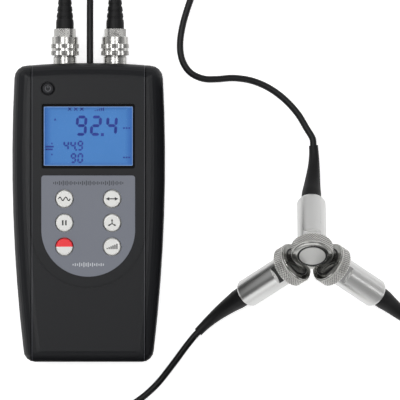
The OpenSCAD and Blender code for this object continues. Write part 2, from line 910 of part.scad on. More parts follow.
// Panel socket with a flange, a bored barrel and two bayonet studs
module socket(x) {
    color(nickel)
    along_y(x, seat_y)
        difference() {
            union() {
                cylinder(h = flange_t, r = skirt_r);
                cylinder(h = barrel_l, r = barrel_r);
                translate([0, 0, -thread_l])
                    cylinder(h = thread_l + flange_t / 2, r = thread_r);
                translate([0, 0, bayonet_at])
                    rotate([90, 0, 0])
                        cylinder(h = 2 * (barrel_r + bayonet_reach), r = bayonet_r, center = true);
            }
            translate([0, 0, bore_start])
                cylinder(h = barrel_l, r = barrel_bore_r);
        }
}

module socket_left() {
    socket(socket_xs[0]);
}

module socket_right() {
    socket(socket_xs[1]);
}

module socket_insulators() {
    color("white")
    for (x = socket_xs) {
        along_y(x, seat_y + bore_start)
            difference() {
                cylinder(h = insulator_l, r = insulator_r);
                translate([0, 0, insulator_l / 2])
                    cylinder(h = insulator_l, r = contact_bore_r);
            }
    }
}

module socket_nuts() {
    color(nickel)
    for (x = socket_xs) {
        along_y(x, crown_y - hex_at - hex_t)
            difference() {
                cylinder(h = hex_t, r = hex_r, $fn = 6);
                translate([0, 0, -over])
                    cylinder(h = hex_t + 2 * over, r = thread_r + hole_gap / 4);
            }
    }
}

// Rubber bush that holds the third lead in the socket end
module lead_grommet() {
    color(rubber_black)
    along_y(socket_shift, crown_y - wall - seat_gap - grommet_flange_t) {
        cylinder(h = grommet_flange_t, r = grommet_flange_r);
        cylinder(h = grommet_flange_t + seat_gap + wall, r = grommet_r);
    }
}

module case_screws() {
    color("dimgray")
    at_places(boss_places, screw_sink - screw_head_t) {
        cylinder(h = screw_head_t - seat_gap, r = screw_head_r);
        cylinder(h = screw_l, r = screw_r - screw_gap);
    }
}

module board_screws() {
    color("silver")
    at_places(post_places, board_z - seat_gap - board_screw_head_t) {
        cylinder(h = board_screw_head_t, r = board_screw_head_r);
        cylinder(h = board_screw_l, r = post_pilot_r - seat_gap);
    }
}

// Coupling nut: a plain skirt, a waist, and a grip with two serrated rings and a plain collar
module plug_nut(x) {
    waist_r = skirt_r - waist_in;
    plain_r = grip_r - ring_rise;
    color(nickel)
    along_y(x, seat_y)
        difference() {
            union() {
                rotate_extrude()
                    polygon([
                        [0, nut_start], [skirt_r, nut_start], [skirt_r, grip_start - skirt_edge],
                        [waist_r, grip_start], [waist_r, grip_start + waist_l / 2], [plain_r, ring_starts[0]],
                        [plain_r, nut_end - grip_edge], [plain_r - grip_edge, nut_end], [0, nut_end]]);
                for (start = ring_starts) {
                    translate([0, 0, start])
                        linear_extrude(ring_l)
                            serrated(grip_r, tooth_d, tooth_count);
                }
            }
            translate([0, 0, -over])
                cylinder(h = over + nut_wall_at, r = nut_bore_r);
            translate([0, 0, bayonet_at - bayonet_r - 2 * seat_gap])
                cylinder(h = 2 * bayonet_r + 4 * seat_gap, r = bayonet_track_r);
            cylinder(h = nut_end + over, r = neck_r + neck_gap);
        }
}

// A round outline with small pointed teeth
module serrated(r, depth, count) {
    polygon([for (i = [0:2 * count - 1]) let (a = 180 * i / count, at = r - (i % 2) * depth)
        [at * cos(a), at * sin(a)]]);
}

module plug_nut_left() {
    plug_nut(socket_xs[0]);
}

module plug_nut_right() {
    plug_nut(socket_xs[1]);
}

// Plug body: contact sleeve, retaining collar, neck, hexagonal clamp and ferrule
module plug_body(x) {
    color(nickel)
    along_y(x, seat_y)
        difference() {
            union() {
                translate([0, 0, sleeve_start])
                    cylinder(h = collar_at + collar_t - sleeve_start, r = sleeve_r);
                translate([0, 0, collar_at])
                    cylinder(h = collar_t, r = collar_r);
                translate([0, 0, collar_at])
                    cylinder(h = nut_end + seat_gap - collar_at, r = neck_r);
                translate([0, 0, nut_end + seat_gap])
                    cylinder(h = clamp_l - seat_gap, r = clamp_r, $fn = 6);
                translate([0, 0, nut_end + clamp_l / 2])
                    cylinder(h = clamp_l / 2 + ferrule_l, r = ferrule_r);
            }
            cylinder(h = collar_at, r = sleeve_bore_r);
        }
}

module plug_body_left() {
    plug_body(socket_xs[0]);
}

module plug_body_right() {
    plug_body(socket_xs[1]);
}

// Tapered rubber boot over the ferrule, with ribs that let it bend
module plug_boot(x) {
    fall = (plug_boot_r - plug_tip_r) / (plug_boot_l - plug_boot_collar_l);
    rib_step = (plug_boot_l - 2 * plug_boot_collar_l) / boot_rib_count;
    color(rubber_black)
    along_y(x, seat_y + boot_start)
        rotate_extrude()
            polygon(concat(
                [[ferrule_r + seat_gap, 0], [plug_boot_r, 0], [plug_boot_r, plug_boot_collar_l]],
                [for (i = [0:boot_rib_count - 1])
                    let (
                        z = plug_boot_collar_l + (i + 1 / 2) * rib_step,
                        r = plug_boot_r - fall * (z - plug_boot_collar_l))
                    each [[r, z], [r - boot_rib_d, z], [r - boot_rib_d, z + boot_rib_w], [r, z + boot_rib_w]]],
                [[plug_tip_r, plug_boot_l], [0, plug_boot_l], [0, ferrule_l + seat_gap],
                 [ferrule_r + seat_gap, ferrule_l + seat_gap]]));
}

module plug_boot_left() {
    plug_boot(socket_xs[0]);
}

module plug_boot_right() {
    plug_boot(socket_xs[1]);
}

// Centre pins with their insulators, one in each plug
module plug_pins() {
    color("gold")
    for (x = socket_xs) {
        along_y(x, seat_y) {
            translate([0, 0, pin_start])
                cylinder(h = collar_at - pin_start, r = pin_r);
            translate([0, 0, collar_at - plug_insulator_l])
                cylinder(h = plug_insulator_l, r = plug_insulator_r);
        }
    }
}

// Puts a sensor's own frame at its face, with +Z along its direction and its flats up and down
module at_sensor(face, dir) {
    translate(face)
        rotate([0, acos(dir[2]), atan2(dir[1], dir[0])])
            children();
}

// Sensor case: a bored steel cylinder with wrench flats, a post inside and a tapered cable end
module sensor_case() {
    tail = -sensor_l;
    color(steel)
    difference() {
        rotate_extrude()
            polygon([
                [0, tail], [case_r - case_end_in, tail], [case_r, tail + case_end_l],
                [case_r, -base_l - seat_gap], [0, -base_l - seat_gap]]);
        translate([0, 0, -base_l - case_front_t])
            rotate([180, 0, 0])
                difference() {
                    cylinder(h = sensor_l - base_l - case_front_t - case_rear_t, r = case_bore_r);
                    translate([0, 0, -over])
                        cylinder(h = post_in_l + over, r = post_in_r);
                }
        translate([0, 0, tail - over])
            cylinder(h = case_rear_t + 2 * over, r = case_plug_r + seat_gap);
        translate([0, 0, -base_l - stud_in_case - seat_gap])
            cylinder(h = stud_in_case + over, r = stud_r + stud_hole_gap);
        for (side = [-1, 1]) {
            translate([side * flats / 2, -case_r, -flats_at - flats_l])
                mirror([side < 0 ? 1 : 0, 0, 0])
                    cube([case_r, 2 * case_r, flats_l]);
        }
    }
}

// Magnetic base: a round steel cup with a grip rim and a raised face
module sensor_base() {
    cup_r = pole_r + seal_w;
    color(nickel)
    difference() {
        rotate_extrude()
            polygon([
                [0, -base_l], [base_r - base_edge, -base_l], [base_r, -base_l + base_edge],
                [base_r, -face_rise - base_edge / 2], [base_r - base_edge / 2, -face_rise],
                [face_r, -face_rise], [face_r, -base_edge / 4], [face_r - base_edge / 4, 0], [0, 0]]);
        translate([0, 0, -cup_depth])
            cylinder(h = cup_depth + over, r = cup_r);
        translate([0, 0, -base_l - over])
            cylinder(h = base_l, r = stud_r + stud_hole_gap);
    }
}

module sensor_pole() {
    color(steel)
    translate([0, 0, -pole_t])
        cylinder(h = pole_t, r = pole_r);
}

module top_case() {
    at_sensor(top_face, top_dir)
        sensor_case();
}

module left_case() {
    at_sensor(left_face, left_dir)
        sensor_case();
}

module right_case() {
    at_sensor(right_face, right_dir)
        sensor_case();
}

module top_base() {
    at_sensor(top_face, top_dir)
        sensor_base();
}

module left_base() {
    at_sensor(left_face, left_dir)
        sensor_base();
}

module right_base() {
    at_sensor(right_face, right_dir)
        sensor_base();
}

module top_pole() {
    at_sensor(top_face, top_dir)
        sensor_pole();
}

module left_pole() {
    at_sensor(left_face, left_dir)
        sensor_pole();
}

module right_pole() {
    at_sensor(right_face, right_dir)
        sensor_pole();
}

// The same small piece in each of the three sensors
module in_each_sensor() {
    at_sensor(top_face, top_dir)
        children();
    at_sensor(left_face, left_dir)
        children();
    at_sensor(right_face, right_dir)
        children();
}

module seal_rings() {
    color("black")
    in_each_sensor()
        translate([0, 0, -cup_depth + ring_gap])
            difference() {
                cylinder(h = cup_depth - ring_gap - seal_sink, r = pole_r + seal_w - ring_gap / 2);
                translate([0, 0, -over])
                    cylinder(h = cup_depth + over, r = pole_r + ring_gap / 2);
            }
}

module magnet_discs() {
    color("dimgray")
    in_each_sensor()
        translate([0, 0, -pole_t - ring_gap - magnet_t])
            cylinder(h = magnet_t, r = pole_r - ring_gap / 2);
}

module base_studs() {
    color("silver")
    in_each_sensor()
        translate([0, 0, -base_l - stud_in_case])
            cylinder(h = stud_in_case + base_l - cup_depth - ring_gap, r = stud_r);
}

// Ceramic ring and mass stacked on the case's inner post
module piezo_rings() {
    color("white")
    in_each_sensor()
        translate([0, 0, -base_l - case_front_t - ring_gap - piezo_t])
            difference() {
                cylinder(h = piezo_t, r = piezo_r);
                translate([0, 0, -over])
                    cylinder(h = piezo_t + 2 * over, r = post_in_r + ring_gap);
            }
}

module seismic_masses() {
    color("silver")
    in_each_sensor()
        translate([0, 0, -base_l - case_front_t - 2 * ring_gap - piezo_t - mass_t])
            difference() {
                cylinder(h = mass_t, r = mass_r);
                translate([0, 0, -over])
                    cylinder(h = mass_t + 2 * over, r = post_in_r + ring_gap);
            }
}

// Sweeping: rings square to a path, joined into one closed tube of triangles
function unit(v) = v / norm(v);
function heading_at(path, i) =
    let (n = len(path))
    i == 0 ? unit(path[1] - path[0])
    : i == n - 1 ? unit(path[n - 1] - path[n - 2])
    : unit(unit(path[i + 1] - path[i]) + unit(path[i] - path[i - 1]));
function ring_points(centre, heading, r, sides) =
    let (
        across = unit(cross([0, 0, 1], heading)),
        up = cross(heading, across))
    [for (k = [0:sides - 1]) let (a = 360 * (k + 1 / 2) / sides)
        centre + r * cos(a) * across + r * sin(a) * up];

module tube(path, radii, sides) {
    n = len(path);
    points = [for (i = [0:n - 1]) each ring_points(path[i], heading_at(path, i), radii[i], sides)];
    start_cap = [for (k = [1:sides - 2]) [0, k, k + 1]];
    last = (n - 1) * sides;
    end_cap = [for (k = [1:sides - 2]) [last, last + k + 1, last + k]];
    walls = [for (i = [0:n - 2]) for (k = [0:sides - 1])
        let (
            a = i * sides + k,
            b = i * sides + (k + 1) % sides,
            c = a + sides,
            d = b + sides)
        each [[a, c, b], [b, c, d]]];
    polyhedron(points = points, faces = concat(start_cap, end_cap, walls), convexity = 10);
}

module lead_run(path) {
    color(rubber_black)
        tube(path, [for (p = path) lead_d / 2], lead_sides);
}

// Sensor boot: a short plug in the case, then a tapered body that bends down to the table
function boot_body_r(t) = boot_tip_r + (boot_r - boot_tip_r) * lookup(t, boot_shape_shares);
function bend_point(p, t) =
    pow(1 - t, 3) * p[0] + 3 * t * pow(1 - t, 2) * p[1] + 3 * t * t * (1 - t) * p[2] + pow(t, 3) * p[3];
function along(heading) = [cos(heading), sin(heading), 0];
function boot_bend(face, dir, end, heading) =
    let (
        rim = face - sensor_l * dir,
        tip = [end[0], end[1], boot_tip_r],
        arm = boot_arm_share * norm(tip - rim))
    [rim, rim - arm * dir, tip - arm * along(heading), tip];

module sensor_boot(face, dir, end, heading) {
    bend = boot_bend(face, dir, end, heading);
    rim = bend[0];
    body = concat(
        [for (i = [1:boot_steps - 1]) bend_point(bend, i / boot_steps)],
        [bend[3] - boot_tip_r * along(heading), bend[3]]);
    path = concat([rim + boot_plug_l * dir, rim, rim - seat_gap * dir], body);
    radii = concat(
        [case_plug_r, case_plug_r, boot_r],
        [for (i = [1:boot_steps - 1]) boot_body_r(i / boot_steps)],
        [boot_tip_r, boot_tip_r]);
    color(rubber_black)
        tube(path, radii, boot_sides);
}

module top_boot() {
    sensor_boot(top_face, top_dir, top_boot_end, top_boot_heading);
}

module left_boot() {
    sensor_boot(left_face, left_dir, left_boot_end, left_boot_heading);
}

module right_boot() {
    sensor_boot(right_face, right_dir, right_boot_end, right_boot_heading);
}

// Coil: spirals in on the table, climbs a layer in the half turn where it reverses, spirals out
function smooth(t) = t * t * (3 - 2 * t);
function coil_point(at, start, turns, sense, t) =
    let (
        half = turns / 2,
        r = coil_r - coil_pitch * min(t, turns - t),
        a = start + sense * 360 * t,
        lift = smooth(min(max(2 * (t - half) + 1 / 2, 0), 1)))
    [at[0] + r * cos(a), at[1] + r * sin(a), coil_z + coil_pitch * lift];
function coil_stub(at, a, sense, z, way) =
    [at[0] + coil_r * cos(a) - way * sense * lead_d * sin(a),
     at[1] + coil_r * sin(a) + way * sense * lead_d * cos(a), z];
function coil_path(at, start, turns, sense) =
    concat(
        [coil_stub(at, start, sense, coil_z, -1)],
        [for (i = [0:coil_steps * turns]) coil_point(at, start, turns, sense, i / coil_steps)],
        [coil_stub(at, start + sense * 360 * turns, sense, coil_z + coil_pitch, 1)]);

// Least gap between the coil and itself, over points more than a third of a turn apart
function least_gap(path) =
    let (apart = coil_steps / 3)
    min([for (i = [0:len(path) - 1 - apart]) for (j = [i + apart:len(path) - 1])
        norm(path[i] - path[j])]) - lead_d;

module coil(path) {
    echo(least_gap_mm = least_gap(path));
    color(rubber_black)
        tube(path, [for (p = path) lead_d / 2], coil_sides);
}

// Straight ends of the free stretches: out of a plug or the grommet, to and from a coil, into a boot
function out_of_plug(x) =
    [for (y = [0, lead_d]) [x, seat_y + plug_end + y, socket_z]];
function out_of_grommet() =
    [for (y = [0, lead_d]) [socket_shift, crown_y + seat_gap + y, socket_z]];
function into_coil(path) = [path[0] - (path[1] - path[0]), path[0]];
function out_of_coil(path) =
    let (n = len(path))
    [path[n - 1], path[n - 1] + (path[n - 1] - path[n - 2])];
function into_boot(end, heading) =
    let (tip = [end[0], end[1], boot_tip_r])
    [tip + lead_d * along(heading), tip];

left_coil_path = coil_path(left_coil_at, left_coil_start, left_coil_turns, 1);
top_coil_path = coil_path(top_coil_at, top_coil_start, top_coil_turns, -1);
right_coil_path = coil_path(right_coil_at, right_coil_start, right_coil_turns, 1);

module left_plug_lead() {
    lead_run(concat(out_of_plug(socket_xs[0]), left_plug_route, into_coil(left_coil_path)));
}

module left_coil() {
    coil(left_coil_path);
}

module left_sensor_lead() {
    lead_run(concat(
        out_of_coil(left_coil_path), left_sensor_route, into_boot(left_boot_end, left_boot_heading)));
}

module top_plug_lead() {
    lead_run(concat(out_of_plug(socket_xs[1]), top_plug_route, into_coil(top_coil_path)));
}

module top_coil() {
    coil(top_coil_path);
}

module top_sensor_lead() {
    lead_run(concat(
        out_of_coil(top_coil_path), top_sensor_route, into_boot(top_boot_end, top_boot_heading)));
}

module right_meter_lead() {
    lead_run(concat(out_of_grommet(), right_meter_route, into_coil(right_coil_path)));
}

module right_coil() {
    coil(right_coil_path);
}

module right_sensor_lead() {
    lead_run(concat(
        out_of_coil(right_coil_path), right_sensor_route, into_boot(right_boot_end, right_boot_heading)));
}

// One closed band round each coil's bundle of turns
module tie(at, turns) {
    least_r = coil_r - coil_pitch * turns / 2;
    inner_r = sqrt(pow(least_r, 2) - pow(tie_w / 2, 2)) - lead_d / 2 - seat_gap;
    outer_r = coil_r + lead_d / 2 + seat_gap;
    band_l = outer_r - inner_r;
    band_h = coil_pitch + lead_d + 2 * seat_gap;
    translate([at[0], at[1], 0])
        rotate(tie_angle)
            translate([inner_r + band_l / 2, tie_w / 2, tie_t + band_h / 2])
                rotate([90, 0, 0])
                    linear_extrude(tie_w)
                        difference() {
                            rounded_rect(band_l + 2 * tie_t, band_h + 2 * tie_t, tie_t);
                            square([band_l, band_h], center = true);
                        }
}

module lead_ties() {
    color(rubber_black) {
        tie(left_coil_at, left_coil_turns);
        tie(top_coil_at, top_coil_turns);
        tie(right_coil_at, right_coil_turns);
    }
}

front_shell();
rear_shell();
battery_door();
lcd_window();
lcd_glass();
lcd_backlight();
face_label();
key_mat();
main_board();
board_parts();
battery_cells();
battery_contacts();
socket_left();
socket_right();
socket_insulators();
socket_nuts();
lead_grommet();
case_screws();
board_screws();
power_key();
key_1();
key_2();
key_3();
key_4();
key_5();
key_6();
plug_nut_left();
plug_nut_right();
plug_body_left();
plug_body_right();
plug_boot_left();
plug_boot_right();
plug_pins();
top_case();
left_case();
right_case();
top_base();
left_base();
right_base();
top_pole();
left_pole();
right_pole();
top_boot();
left_boot();
right_boot();
seal_rings();
magnet_discs();
base_studs();
piezo_rings();
seismic_masses();
left_plug_lead();
left_coil();
left_sensor_lead();
top_plug_lead();
top_coil();
top_sensor_lead();
right_meter_lead();
right_coil();
right_sensor_lead();
lead_ties();
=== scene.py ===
# %% [markdown]
# # A handheld vibration meter and its sensor head
#
# This lesson dresses a finished CAD model: a black handheld meter with a blue display, three leads and a
# head of three steel accelerometers that cling together by their magnets. The CAD model arrives as a fixed
# frame, already at its real size, and nothing here moves or resizes it. Each step adds a finish or a
# detailed piece and says what it is on the real object.

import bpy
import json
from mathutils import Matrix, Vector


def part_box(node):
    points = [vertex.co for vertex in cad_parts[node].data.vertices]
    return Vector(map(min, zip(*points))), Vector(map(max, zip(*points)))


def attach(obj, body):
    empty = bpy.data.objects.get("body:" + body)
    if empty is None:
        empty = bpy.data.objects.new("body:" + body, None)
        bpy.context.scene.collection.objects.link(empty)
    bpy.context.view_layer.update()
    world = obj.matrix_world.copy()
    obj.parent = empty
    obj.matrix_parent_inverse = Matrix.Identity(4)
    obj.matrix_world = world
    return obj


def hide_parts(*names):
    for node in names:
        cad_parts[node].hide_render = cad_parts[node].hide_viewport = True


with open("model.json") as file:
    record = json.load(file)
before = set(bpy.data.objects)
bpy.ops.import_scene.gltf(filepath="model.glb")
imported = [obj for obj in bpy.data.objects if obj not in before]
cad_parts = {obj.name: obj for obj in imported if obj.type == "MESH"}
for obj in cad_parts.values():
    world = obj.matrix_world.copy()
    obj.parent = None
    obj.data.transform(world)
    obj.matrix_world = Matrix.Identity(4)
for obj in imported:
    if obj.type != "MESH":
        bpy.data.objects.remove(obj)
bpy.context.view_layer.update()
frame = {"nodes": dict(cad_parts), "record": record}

# %% [markdown]
# Everything is in metres, in the CAD model's frame: the origin is under the middle of the meter, X runs to
# the right of its display, Y towards its sockets and Z out of its face. Small sizes read better in
# millimetres, so one named unit turns them into metres. Colours are written as the hex values that a
# picture editor shows, and one function turns them into the linear values that Blender works with.

# %% Units, colours and objects
import json
import math

import bmesh
import bpy
from mathutils import Matrix, Vector

MM = 0.001


def linear(code):
    """The linear RGBA colour of an sRGB hex code."""
    values = [int(code[i:i + 2], 16) / 255 for i in (1, 3, 5)]
    return [v / 12.92 if v <= 0.04045 else ((v + 0.055) / 1.055) ** 2.4 for v in values] + [1.0]


def grey(level):
    """An opaque grey of that linear level."""
    return (level, level, level, 1)


def new_object(name, data):
    """A new object with that data, linked into the scene."""
    made = bpy.data.objects.new(name, data)
    bpy.context.collection.objects.link(made)
    return made


print("Middle grey", [round(v, 3) for v in linear("#808080")])

# %% [markdown]
# The picture looks straight down on a table from far away, so the meter's sides hardly show. A long lens
# at 2.5 m gives that: the lens length follows from the width that the frame has to cover at half the
# meter's height. Its middle lies between the meter and the sensor head.

# %% Camera
VIEW_CENTRE = (57.4 * MM, 6.4 * MM)
VIEW_WIDTH = 206.9 * MM
VIEW_HEIGHT = 18 * MM
CAMERA_HEIGHT = 2.5
SENSOR_WIDTH = 36

camera_data = bpy.data.cameras.new("camera")
camera_data.type = "PERSP"
camera_data.sensor_width = SENSOR_WIDTH
camera_data.lens = SENSOR_WIDTH * (CAMERA_HEIGHT - VIEW_HEIGHT) / VIEW_WIDTH
camera = new_object("camera", camera_data)
camera.location = (*VIEW_CENTRE, CAMERA_HEIGHT)
bpy.context.scene.camera = camera
print("Lens", round(camera_data.lens), "mm")

# %% [markdown]
# A material is a small tree of nodes. One helper adds a node with its settings and its inputs, where an
# input is a plain value or another node's output. Most finishes here share two ingredients: a bump that
# stands for the surface's grain, and a slight unevenness of its roughness, because no real surface is
# equally smooth all over. Both are driven by the object's own coordinates, which are metres, so a grain of
# half a millimetre needs a texture scale of one over half a millimetre.


# %% Material helpers
def add(tree, kind, inputs=None, **settings):
    """Adds a node. Inputs maps a socket's name or number to a value or to another node's output."""
    node = tree.nodes.new(kind)
    for name, value in settings.items():
        setattr(node, name, value)
    for key, value in (inputs or {}).items():
        if isinstance(value, bpy.types.NodeSocket):
            tree.links.new(value, node.inputs[key])
        else:
            node.inputs[key].default_value = value
    return node


def new_material(name):
    """An empty material, its tree, and its Principled shader wired to the output."""
    material = bpy.data.materials.new(name)
    material.use_nodes = True
    tree = material.node_tree
    tree.nodes.clear()
    shader = add(tree, "ShaderNodeBsdfPrincipled")
    add(tree, "ShaderNodeOutputMaterial", {"Surface": shader.outputs["BSDF"]})
    return material, tree, shader


def place_in_object(tree, stretch=(1, 1, 1), turn=(0, 0, 0)):
    """The object's own coordinates, seen along turned axes and stretched along them."""
    source = add(tree, "ShaderNodeTexCoord")
    mapping = add(tree, "ShaderNodeMapping", {
        "Vector": source.outputs["Object"], "Scale": stretch, "Rotation": turn}, vector_type="TEXTURE")
    return mapping.outputs["Vector"]


def maths(tree, operation, *values):
    """The result of a Math node, each value a number or a node's output."""
    return add(tree, "ShaderNodeMath", dict(enumerate(values)), operation=operation).outputs[0]


def ramp(tree, value, stops, blend="LINEAR"):
    """A ramp's colour at a value, from its stops, each a (place, colour) pair."""
    node = add(tree, "ShaderNodeValToRGB", {"Fac": value})
    node.color_ramp.interpolation = blend
    for place, _ in stops[1:-1]:
        node.color_ramp.elements.new(place)
    for element, (place, colour) in zip(node.color_ramp.elements, stops):
        element.position = place
        element.color = colour
    return node.outputs["Color"]


def grained(
        name, colour, roughness, grain, depth, metallic=0.0, spread=0.06, shine=0.5,
        turn=(0, 0, 0), stretch=(1, 1, 1)):
    """A finish with a fine grain: its size and depth in millimetres, and how far its roughness wanders."""
    material, tree, shader = new_material(name)
    shader.inputs["Base Color"].default_value = linear(colour)
    shader.inputs["Metallic"].default_value = metallic
    shader.inputs["Specular IOR Level"].default_value = shine
    where = place_in_object(tree, stretch, turn)
    noise = add(tree, "ShaderNodeTexNoise", {"Vector": where, "Scale": 1 / (grain * MM), "Detail": 2.0})
    bump = add(tree, "ShaderNodeBump", {
        "Height": noise.outputs[0], "Distance": depth * MM, "Strength": 1.0})
    tree.links.new(bump.outputs["Normal"], shader.inputs["Normal"])
    wander = add(tree, "ShaderNodeMapRange", {
        "Value": noise.outputs[0], "To Min": roughness - spread, "To Max": roughness + spread})
    tree.links.new(wander.outputs["Result"], shader.inputs["Roughness"])
    return material


def metal(name, colour, roughness, grain, depth, **more):
    """A metal finish with a fine grain."""
    return grained(name, colour, roughness, grain, depth, metallic=1.0, **more)


print("Helpers ready")

# %% [markdown]
# A lead's jacket is extruded PVC, black and slightly glossy. The sensors' boots and the plugs' boots are
# moulded rubber, duller than the jacket, with a fine spark-eroded grain.

# %% Jacket and rubber
pvc_jacket = grained("extruded_pvc_jacket", "#0c0c0e", 0.38, 1.2, 0.01, shine=0.3)
boot_rubber = grained("moulded_boot_rubber", "#0b0b0d", 0.5, 0.6, 0.015, shine=0.28)
print("Jacket and rubber ready")

# %% [markdown]
# Each lead is one cord: out of the meter, down to the table, round a neat coil that the picture doesn't
# reach, and on to its sensor. A curve is the natural way to make a cord, because its thickness is one
# number and its line stays editable. The free stretches follow listed points, the same as in the CAD
# source. The coil is worked out by a loop: it spirals in, climbs one layer in half a turn and spirals
# out.

# %% The coils
LEAD_WIDTH = 3.5 * MM
COIL_RADIUS = 25 * MM
COIL_PITCH = 4 * MM
COIL_HEIGHT = 2.65 * MM
COIL_STEPS = 24
COIL_ROW = 165 * MM


def towards(heading):
    """The level direction with that heading in degrees."""
    return Vector((math.cos(math.radians(heading)), math.sin(math.radians(heading)), 0))


def coil(centre, start, turns, sense):
    """Points of a two-layer coil with a straight stub at each end; start is an angle in degrees."""
    points = []
    for i in range(int(COIL_STEPS * turns) + 1):
        t = i / COIL_STEPS
        radius = COIL_RADIUS - COIL_PITCH * min(t, turns - t)
        climb = min(max(2 * (t - turns / 2) + 0.5, 0), 1)
        lift = climb * climb * (3 - 2 * climb)
        axle = Vector((*centre, COIL_HEIGHT + COIL_PITCH * lift))
        points.append(axle + radius * towards(start + sense * 360 * t))
    first = sense * LEAD_WIDTH * towards(start + 90)
    last = sense * LEAD_WIDTH * towards(start + sense * 360 * turns + 90)
    return [points[0] - 2 * first, points[0] - first, *points, points[-1] + last, points[-1] + 2 * last]


left_coil = coil((-38 * MM, COIL_ROW), 0, 4.5, 1)
top_coil = coil((38.5 * MM, COIL_ROW), 180, 4.5, -1)
right_coil = coil((103 * MM, COIL_ROW), 180, 4, 1)
print("Coil points", len(left_coil), len(top_coil), len(right_coil))

# %% [markdown]
# The listed routes come next, in millimetres. A point without a height lies on the table. A cord
# leaves its plug straight, so the first two points of a route lie on the plug's axis, and the last two lie
# on the axis of the sensor's boot.

# %% The routes
BOOT_TIP = 2.4 * MM


def in_metres(points):
    """Points in metres, to the micrometre, from points in millimetres."""
    whole = [p if len(p) == 3 else (*p, LEAD_WIDTH / 2 / MM) for p in points]
    return [tuple(round(v * MM, 6) for v in p) for p in whole]


def whole_route(start, wound, last, boot):
    """A whole lead: its start, coil and last stretch, then straight into its boot's tip."""
    end, heading = boot
    tip = Vector((*end, BOOT_TIP))
    return [*in_metres(start), *wound, *in_metres(last), tip + LEAD_WIDTH * towards(heading), tip]


LEFT_BOOT = ((56.4 * MM, -62.4 * MM), 227)
TOP_BOOT = ((116.4 * MM, 34.8 * MM), 96)
RIGHT_BOOT = ((174 * MM, -61 * MM), -30)

routes = {
    "left": whole_route([
        (-12.5, 118, 18), (-12.5, 121.5, 18), (-12.5, 123, 17.8), (-12.6, 130, 15.6), (-12.8, 137, 11.2),
        (-13, 144, 6.4), (-13, 151, 3.4)
    ], left_coil, [
        (-62.5, 149, 4.9), (-61, 140, 2.6), (-58, 129, 1.8), (-54.5, 115), (-52.5, 98), (-52, 78),
        (-52, 50), (-52, 20), (-52, -10), (-52, -40), (-52, -66), (-52, -84), (-51, -95), (-46.5, -102.5),
        (-38, -106), (-26, -107), (-12, -107), (2, -106.5), (14, -104), (24.5, -98.5), (34.5, -90),
        (43, -79.5), (49.5, -70.7, 2.1)
    ], LEFT_BOOT),
    "top": whole_route([
        (13.5, 118, 18), (13.5, 121.5, 18), (13.5, 123, 17.8), (13.5, 130, 15.6), (13.5, 137, 11.2),
        (13.5, 144, 6.4), (13.5, 151, 3.4)
    ], top_coil, [
        (63, 149, 4.9), (61.5, 140, 2.6), (59, 130, 1.8), (55.5, 119), (51.5, 108), (48.3, 97), (47, 87),
        (48.2, 79), (52.3, 72.8), (59, 69.6), (66, 69.3), (74.5, 69.9), (84, 68.6), (93, 64.9), (101.2, 59),
        (108.2, 51.4), (113, 43.5, 2.1)
    ], TOP_BOOT),
    "right": whole_route([
        (0.5, 77.1, 18), (0.5, 80.6, 18), (0.5, 84, 18), (0.5, 92, 17.9), (0.5, 102, 17.4),
        (0.5, 112, 15.8), (0.5, 122, 12.8), (0.5, 132, 8.8), (0.5, 142, 4.8), (0.5, 152, 2.4), (0.5, 164),
        (0.7, 176), (3, 187), (9, 194.5), (18, 197.6), (32, 198), (46, 198), (58, 197.3),
        (67.5, 193.5, 1.8), (74, 186.5, 2.1), (77.2, 178, 2.5)
    ], right_coil, [
        (79, 149, 5), (83, 140, 3), (91, 131, 1.9), (103, 124.5), (120, 121), (140, 119), (158, 116.5),
        (172, 111), (182, 101.5), (188, 88), (190.5, 70), (191, 44), (191, 16), (191, -12), (191, -36),
        (190.5, -50), (188, -58.5, 1.9), (182.5, -63, 2.2)
    ], RIGHT_BOOT)}
print("Route points", [len(route) for route in routes.values()])

# %% [markdown]
# A Bezier curve passes through its points. Its handles decide how it bends between them, and here each
# handle follows the line between the point's two neighbours, a third of the way along, which gives a curve
# as even as a bent cord. A radius at each point lets the same helper make tapered boots later. Those are
# turned into meshes, because a curve's radii count as metres when its box is measured.

# %% A tube along points
MERGE = 0.001 * MM
CURVE_STEPS = 5
TUBE_EDGE = 50


def as_mesh(made, material):
    """The same piece as a mesh."""
    name = made.name
    mesh = bpy.data.meshes.new_from_object(made.evaluated_get(bpy.context.evaluated_depsgraph_get()))
    bpy.data.objects.remove(made)
    bm = bmesh.new()
    bm.from_mesh(mesh)
    bmesh.ops.remove_doubles(bm, verts=bm.verts, dist=MERGE)
    bmesh.ops.recalc_face_normals(bm, faces=bm.faces)
    bm.to_mesh(mesh)
    bm.free()
    mesh.materials.clear()
    mesh.materials.append(material)
    mesh.shade_smooth()
    mesh.set_sharp_from_angle(angle=math.radians(TUBE_EDGE))
    return new_object(name, mesh)


def tube(name, points, width, material, radii=None, rounds=5):
    """A round tube of that width through the points, riding on the meter."""
    points = [Vector(p) for p in points]
    data = bpy.data.curves.new(name, "CURVE")
    data.dimensions = "3D"
    data.bevel_depth = width / 2
    data.bevel_resolution = rounds
    data.resolution_u = data.render_resolution_u = CURVE_STEPS
    data.use_fill_caps = True
    data.materials.append(material)
    spline = data.splines.new("BEZIER")
    spline.bezier_points.add(len(points) - 1)
    for i, (knot, point) in enumerate(zip(spline.bezier_points, points)):
        before = points[max(i - 1, 0)]
        after = points[min(i + 1, len(points) - 1)]
        along = (after - before).normalized()
        knot.handle_left_type = knot.handle_right_type = "FREE"
        knot.co = point
        knot.handle_left = point - along * (point - before).length / 3
        knot.handle_right = point + along * (after - point).length / 3
        knot.radius = radii[i] if radii else 1.0
    made = new_object(name, data)
    if radii:
        made = as_mesh(made, material)
    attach(made, "meter")
    return made


def run_length(points):
    """The length of a run of points."""
    return sum((Vector(b) - Vector(a)).length for a, b in zip(points, points[1:]))


